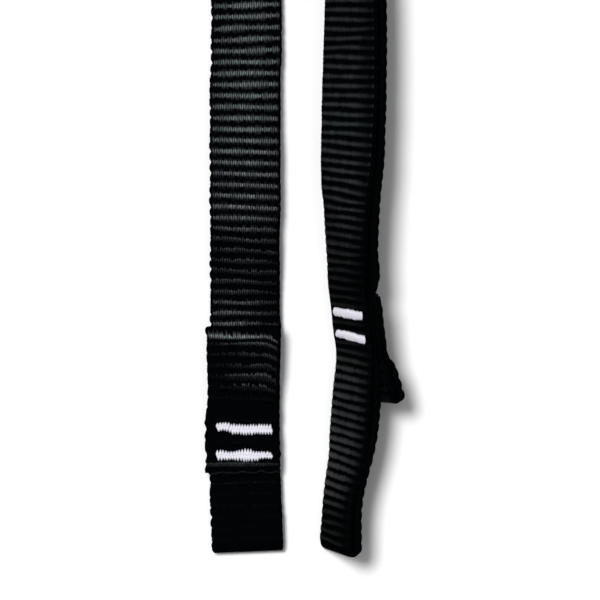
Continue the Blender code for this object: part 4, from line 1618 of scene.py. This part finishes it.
@dataclass(frozen=True)
class BarTacks:
    """The white bar tacks: rows of satin stitches over a junction, on its front and on its back.

    Attributes:
        stitches: how many each face of a bar has, of so many rings of points around.
        taper: the length over which a stitch gets thin towards its ends.
        half_height: half of what an unseen bar measures along the strap, in millimetres.
    """

    route: ChainRoute
    surface: Material
    stitches: int = 40
    rings: int = 13
    around: int = 8
    radius: float = 0.00032
    taper: float = 0.0011
    half_height: float = 1.05

    def build(self) -> None:
        """Makes both bar tacks of every junction, each on its front and its back."""
        uv = (np.linspace(0, 1, self.around + 1), np.linspace(0, 1, self.rings))
        for number in range(1, JUNCTIONS + 1):
            for row in Row:
                name, grids = row.name.lower(), [self.stitch_row(number, row, face) for face in Side]
                obj = tube_object(f"{name}_stitches_{number}", np.vstack(grids), uv)
                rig.ride(obj, f"link_{number}")
                dress(obj, self.surface, "thread", f"{name}_bar_tack_{number}")

    def stitch_row(self, number: int, row: Row, face: Side) -> Array:
        """One bar on one face: uneven stitches side by side, moved to and fro like teeth.

        Each runs from the bar's lower edge to its upper one with a small lean. It rises off the
        strap as a sine to the power 0.45, and its radius grows from both ends to the power 0.9.

        Args:
            number: the junction.
            row: which of its bars.
            face: which face.

        Returns:
            The points, as stitches by rings by points by 3.
        """
        draw, count = np.random.default_rng(1000 * number + 10 * row + face + 500), self.stitches
        shape = SEEN_BARS.get((number, row, face))
        if shape is None:
            low = -self.half_height + draw.uniform(-0.12, 0.12, 3)
            high = self.half_height + draw.uniform(-0.12, 0.12, 3)
            shape = BarShape(tuple(zip((0, 0.5, 1), low, high)))
        place = (np.arange(count) + 0.5) / count
        low, high = shape.edges(place)
        tooth = np.minimum(shape.tooth / 1000, (high - low) * 0.24) * (1 - 2 * (np.arange(count) % 2))
        low = low + tooth + draw.uniform(-0.00013, 0.00013, count)
        high = high + tooth + draw.uniform(-0.00013, 0.00013, count)
        lean = BAR_LENGTH / count * (0.15 + draw.uniform(-0.4, 0.4, count))
        start = (place - 0.5) * BAR_LENGTH + draw.uniform(-0.00004, 0.00004, count)
        start = start - shape.longer / 1000 * (1 - place)
        above = 0.00003 + draw.uniform(0, 0.00006, count)
        t = np.linspace(0, 1, self.rings)
        low, high, lean, start, above = (line[:, None] for line in (low, high, lean, start, above))
        s = junction_s(number) + row * BAR_SPACING / 2 + low + (high - low) * t
        top = STACK_TOP if face is Side.FRONT else SEWN_PAIR / 2
        n = face * (top + above + 0.0003 * (np.sin(np.pi * t) ** 0.45 - 0.55))
        taper = np.minimum(self.taper, 0.42 * (high - low))
        grown = np.clip(np.minimum(t, 1 - t) * (high - low) / taper, 0, 1) ** 0.9
        radius = (self.radius * (0.05 + 0.95 * grown))[..., None]
        turn = np.linspace(0, 2 * math.pi, self.around + 1)[:-1]
        a = (start + lean * (t - 0.5))[..., None] + radius * np.cos(turn) * 1.12
        return self.route.place(
            np.broadcast_to(s[..., None], a.shape), n[..., None] + radius * np.sin(turn), a
        )


@dataclass(frozen=True)
class Sun:
    """A distant light: the way to it from the object, its strength and its width in radians."""

    name: str
    toward: tuple
    energy: float
    angle: float

    def build(self) -> None:
        """Makes the light."""
        light = bpy.data.lights.new(self.name, "SUN")
        light.energy, light.angle = self.energy, self.angle
        obj = add_object(self.name, light)
        obj.rotation_euler = Vector(self.toward).to_track_quat("Z", "Y").to_euler()


@dataclass(frozen=True)
class Studio:
    """The pale floor, the lights and the camera.

    Attributes:
        middle: the x and y under the camera.
        span: how much of the subject the picture shows from side to side.
        distance: of the camera over the subject's height.
        sensor: the width of the camera's sensor, in millimetres.
        sky: the sky's strength, and what is added to it for the camera.
        suns: a soft key from the upper left and a wide light overhead.
    """

    middle: Array
    span: float = 0.13714
    distance: float = 1.30
    subject_height: float = 0.0035
    sensor: float = 36.0
    floor_half: float = 3.0
    floor_z: float = -0.0001
    sky: tuple = (0.14, 0.86)
    suns: tuple = (
        Sun("key", (-1, 1, math.tan(math.radians(72)) * math.sqrt(2)), 2.9, 0.26),
        Sun("overhead", (-0.02, 0.05, 1), 0.65, 0.7),
    )

    def build(self) -> None:
        """Makes all of it."""
        self.floor()
        self.light()
        self.camera()

    def floor(self) -> None:
        """A white square that keeps the shadow and lights little from below."""
        half, mesh = self.floor_half, bpy.data.meshes.new("floor")
        corners = [(-half, -half, 0), (half, -half, 0), (half, half, 0), (-half, half, 0)]
        mesh.from_pydata(corners, [], [(0, 1, 2, 3)])
        mesh.materials.append(FloorFinish().material())
        obj = add_object("floor", mesh)
        obj.location.z = self.floor_z
        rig.stage(obj)

    def light(self) -> None:
        """The suns and a dim even sky, which the camera alone sees bright."""
        world = bpy.context.scene.world or bpy.data.worlds.new("sky")
        bpy.context.scene.world = world
        world.use_nodes = True
        graph = ShaderGraph(world.node_tree)
        strength = graph.add("LightPath", None, "Is Camera Ray") * self.sky[1] + self.sky[0]
        sky = world.node_tree.nodes["Background"]
        graph.feed(sky, {"Strength": strength, "Color": (1, 1, 1, 1)})
        for sun in self.suns:
            sun.build()

    def camera(self) -> None:
        """Straight above the two legs and far off: the lens is sensor times distance over span."""
        data = bpy.data.cameras.new("camera")
        data.sensor_width, data.lens = self.sensor, self.sensor * self.distance / self.span
        data.clip_start, data.clip_end = 0.05, 20.0
        obj = add_object("camera", data)
        obj.location = (*self.middle, self.distance + self.subject_height)
        bpy.context.scene.camera = obj


def write_sizes() -> None:
    boxes = {"cad": CAD_BOX, "visual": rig.bounds()}
    with open("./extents.json", "w") as out:
        json.dump({key: [list(corner) for corner in box] for key, box in boxes.items()}, out, indent=1)


def main() -> None:
    """Builds the whole scene: the strap, its loops, the stitches and the studio."""
    logging.basicConfig(level=logging.INFO, format="%(name)s %(message)s")
    bpy.context.scene.view_settings.view_transform = "Standard"
    anchor = next(joint for joint in frame["joints"] if joint["name"] == "clip_in_eye_flex")
    route = ChainRoute.fitted(link_ends(1)[0], anchor["pos_m"])
    mesher = StripMesher(route)
    webbing, melt = WebbingFinish().material(YarnPattern()), MeltFinish().material()
    Pockets(mesher, webbing).build()
    loops = [ClipLoop(number, seen=number == 1) for number in range(1, JUNCTIONS)]
    # The last loop is pressed flatter than the others, so it stands off a little more steeply
    loops.append(ClipLoop(JUNCTIONS, pressed=0.0004, settled=0.45, steeper=2.5, longer=0.0002))
    for loop in loops:
        loop.build(mesher, webbing, melt)
    BarTacks(route, ThreadFinish().material()).build()
    Studio(route.origin[:2]).build()
    write_sizes()


if __name__ == "__main__":
    main()
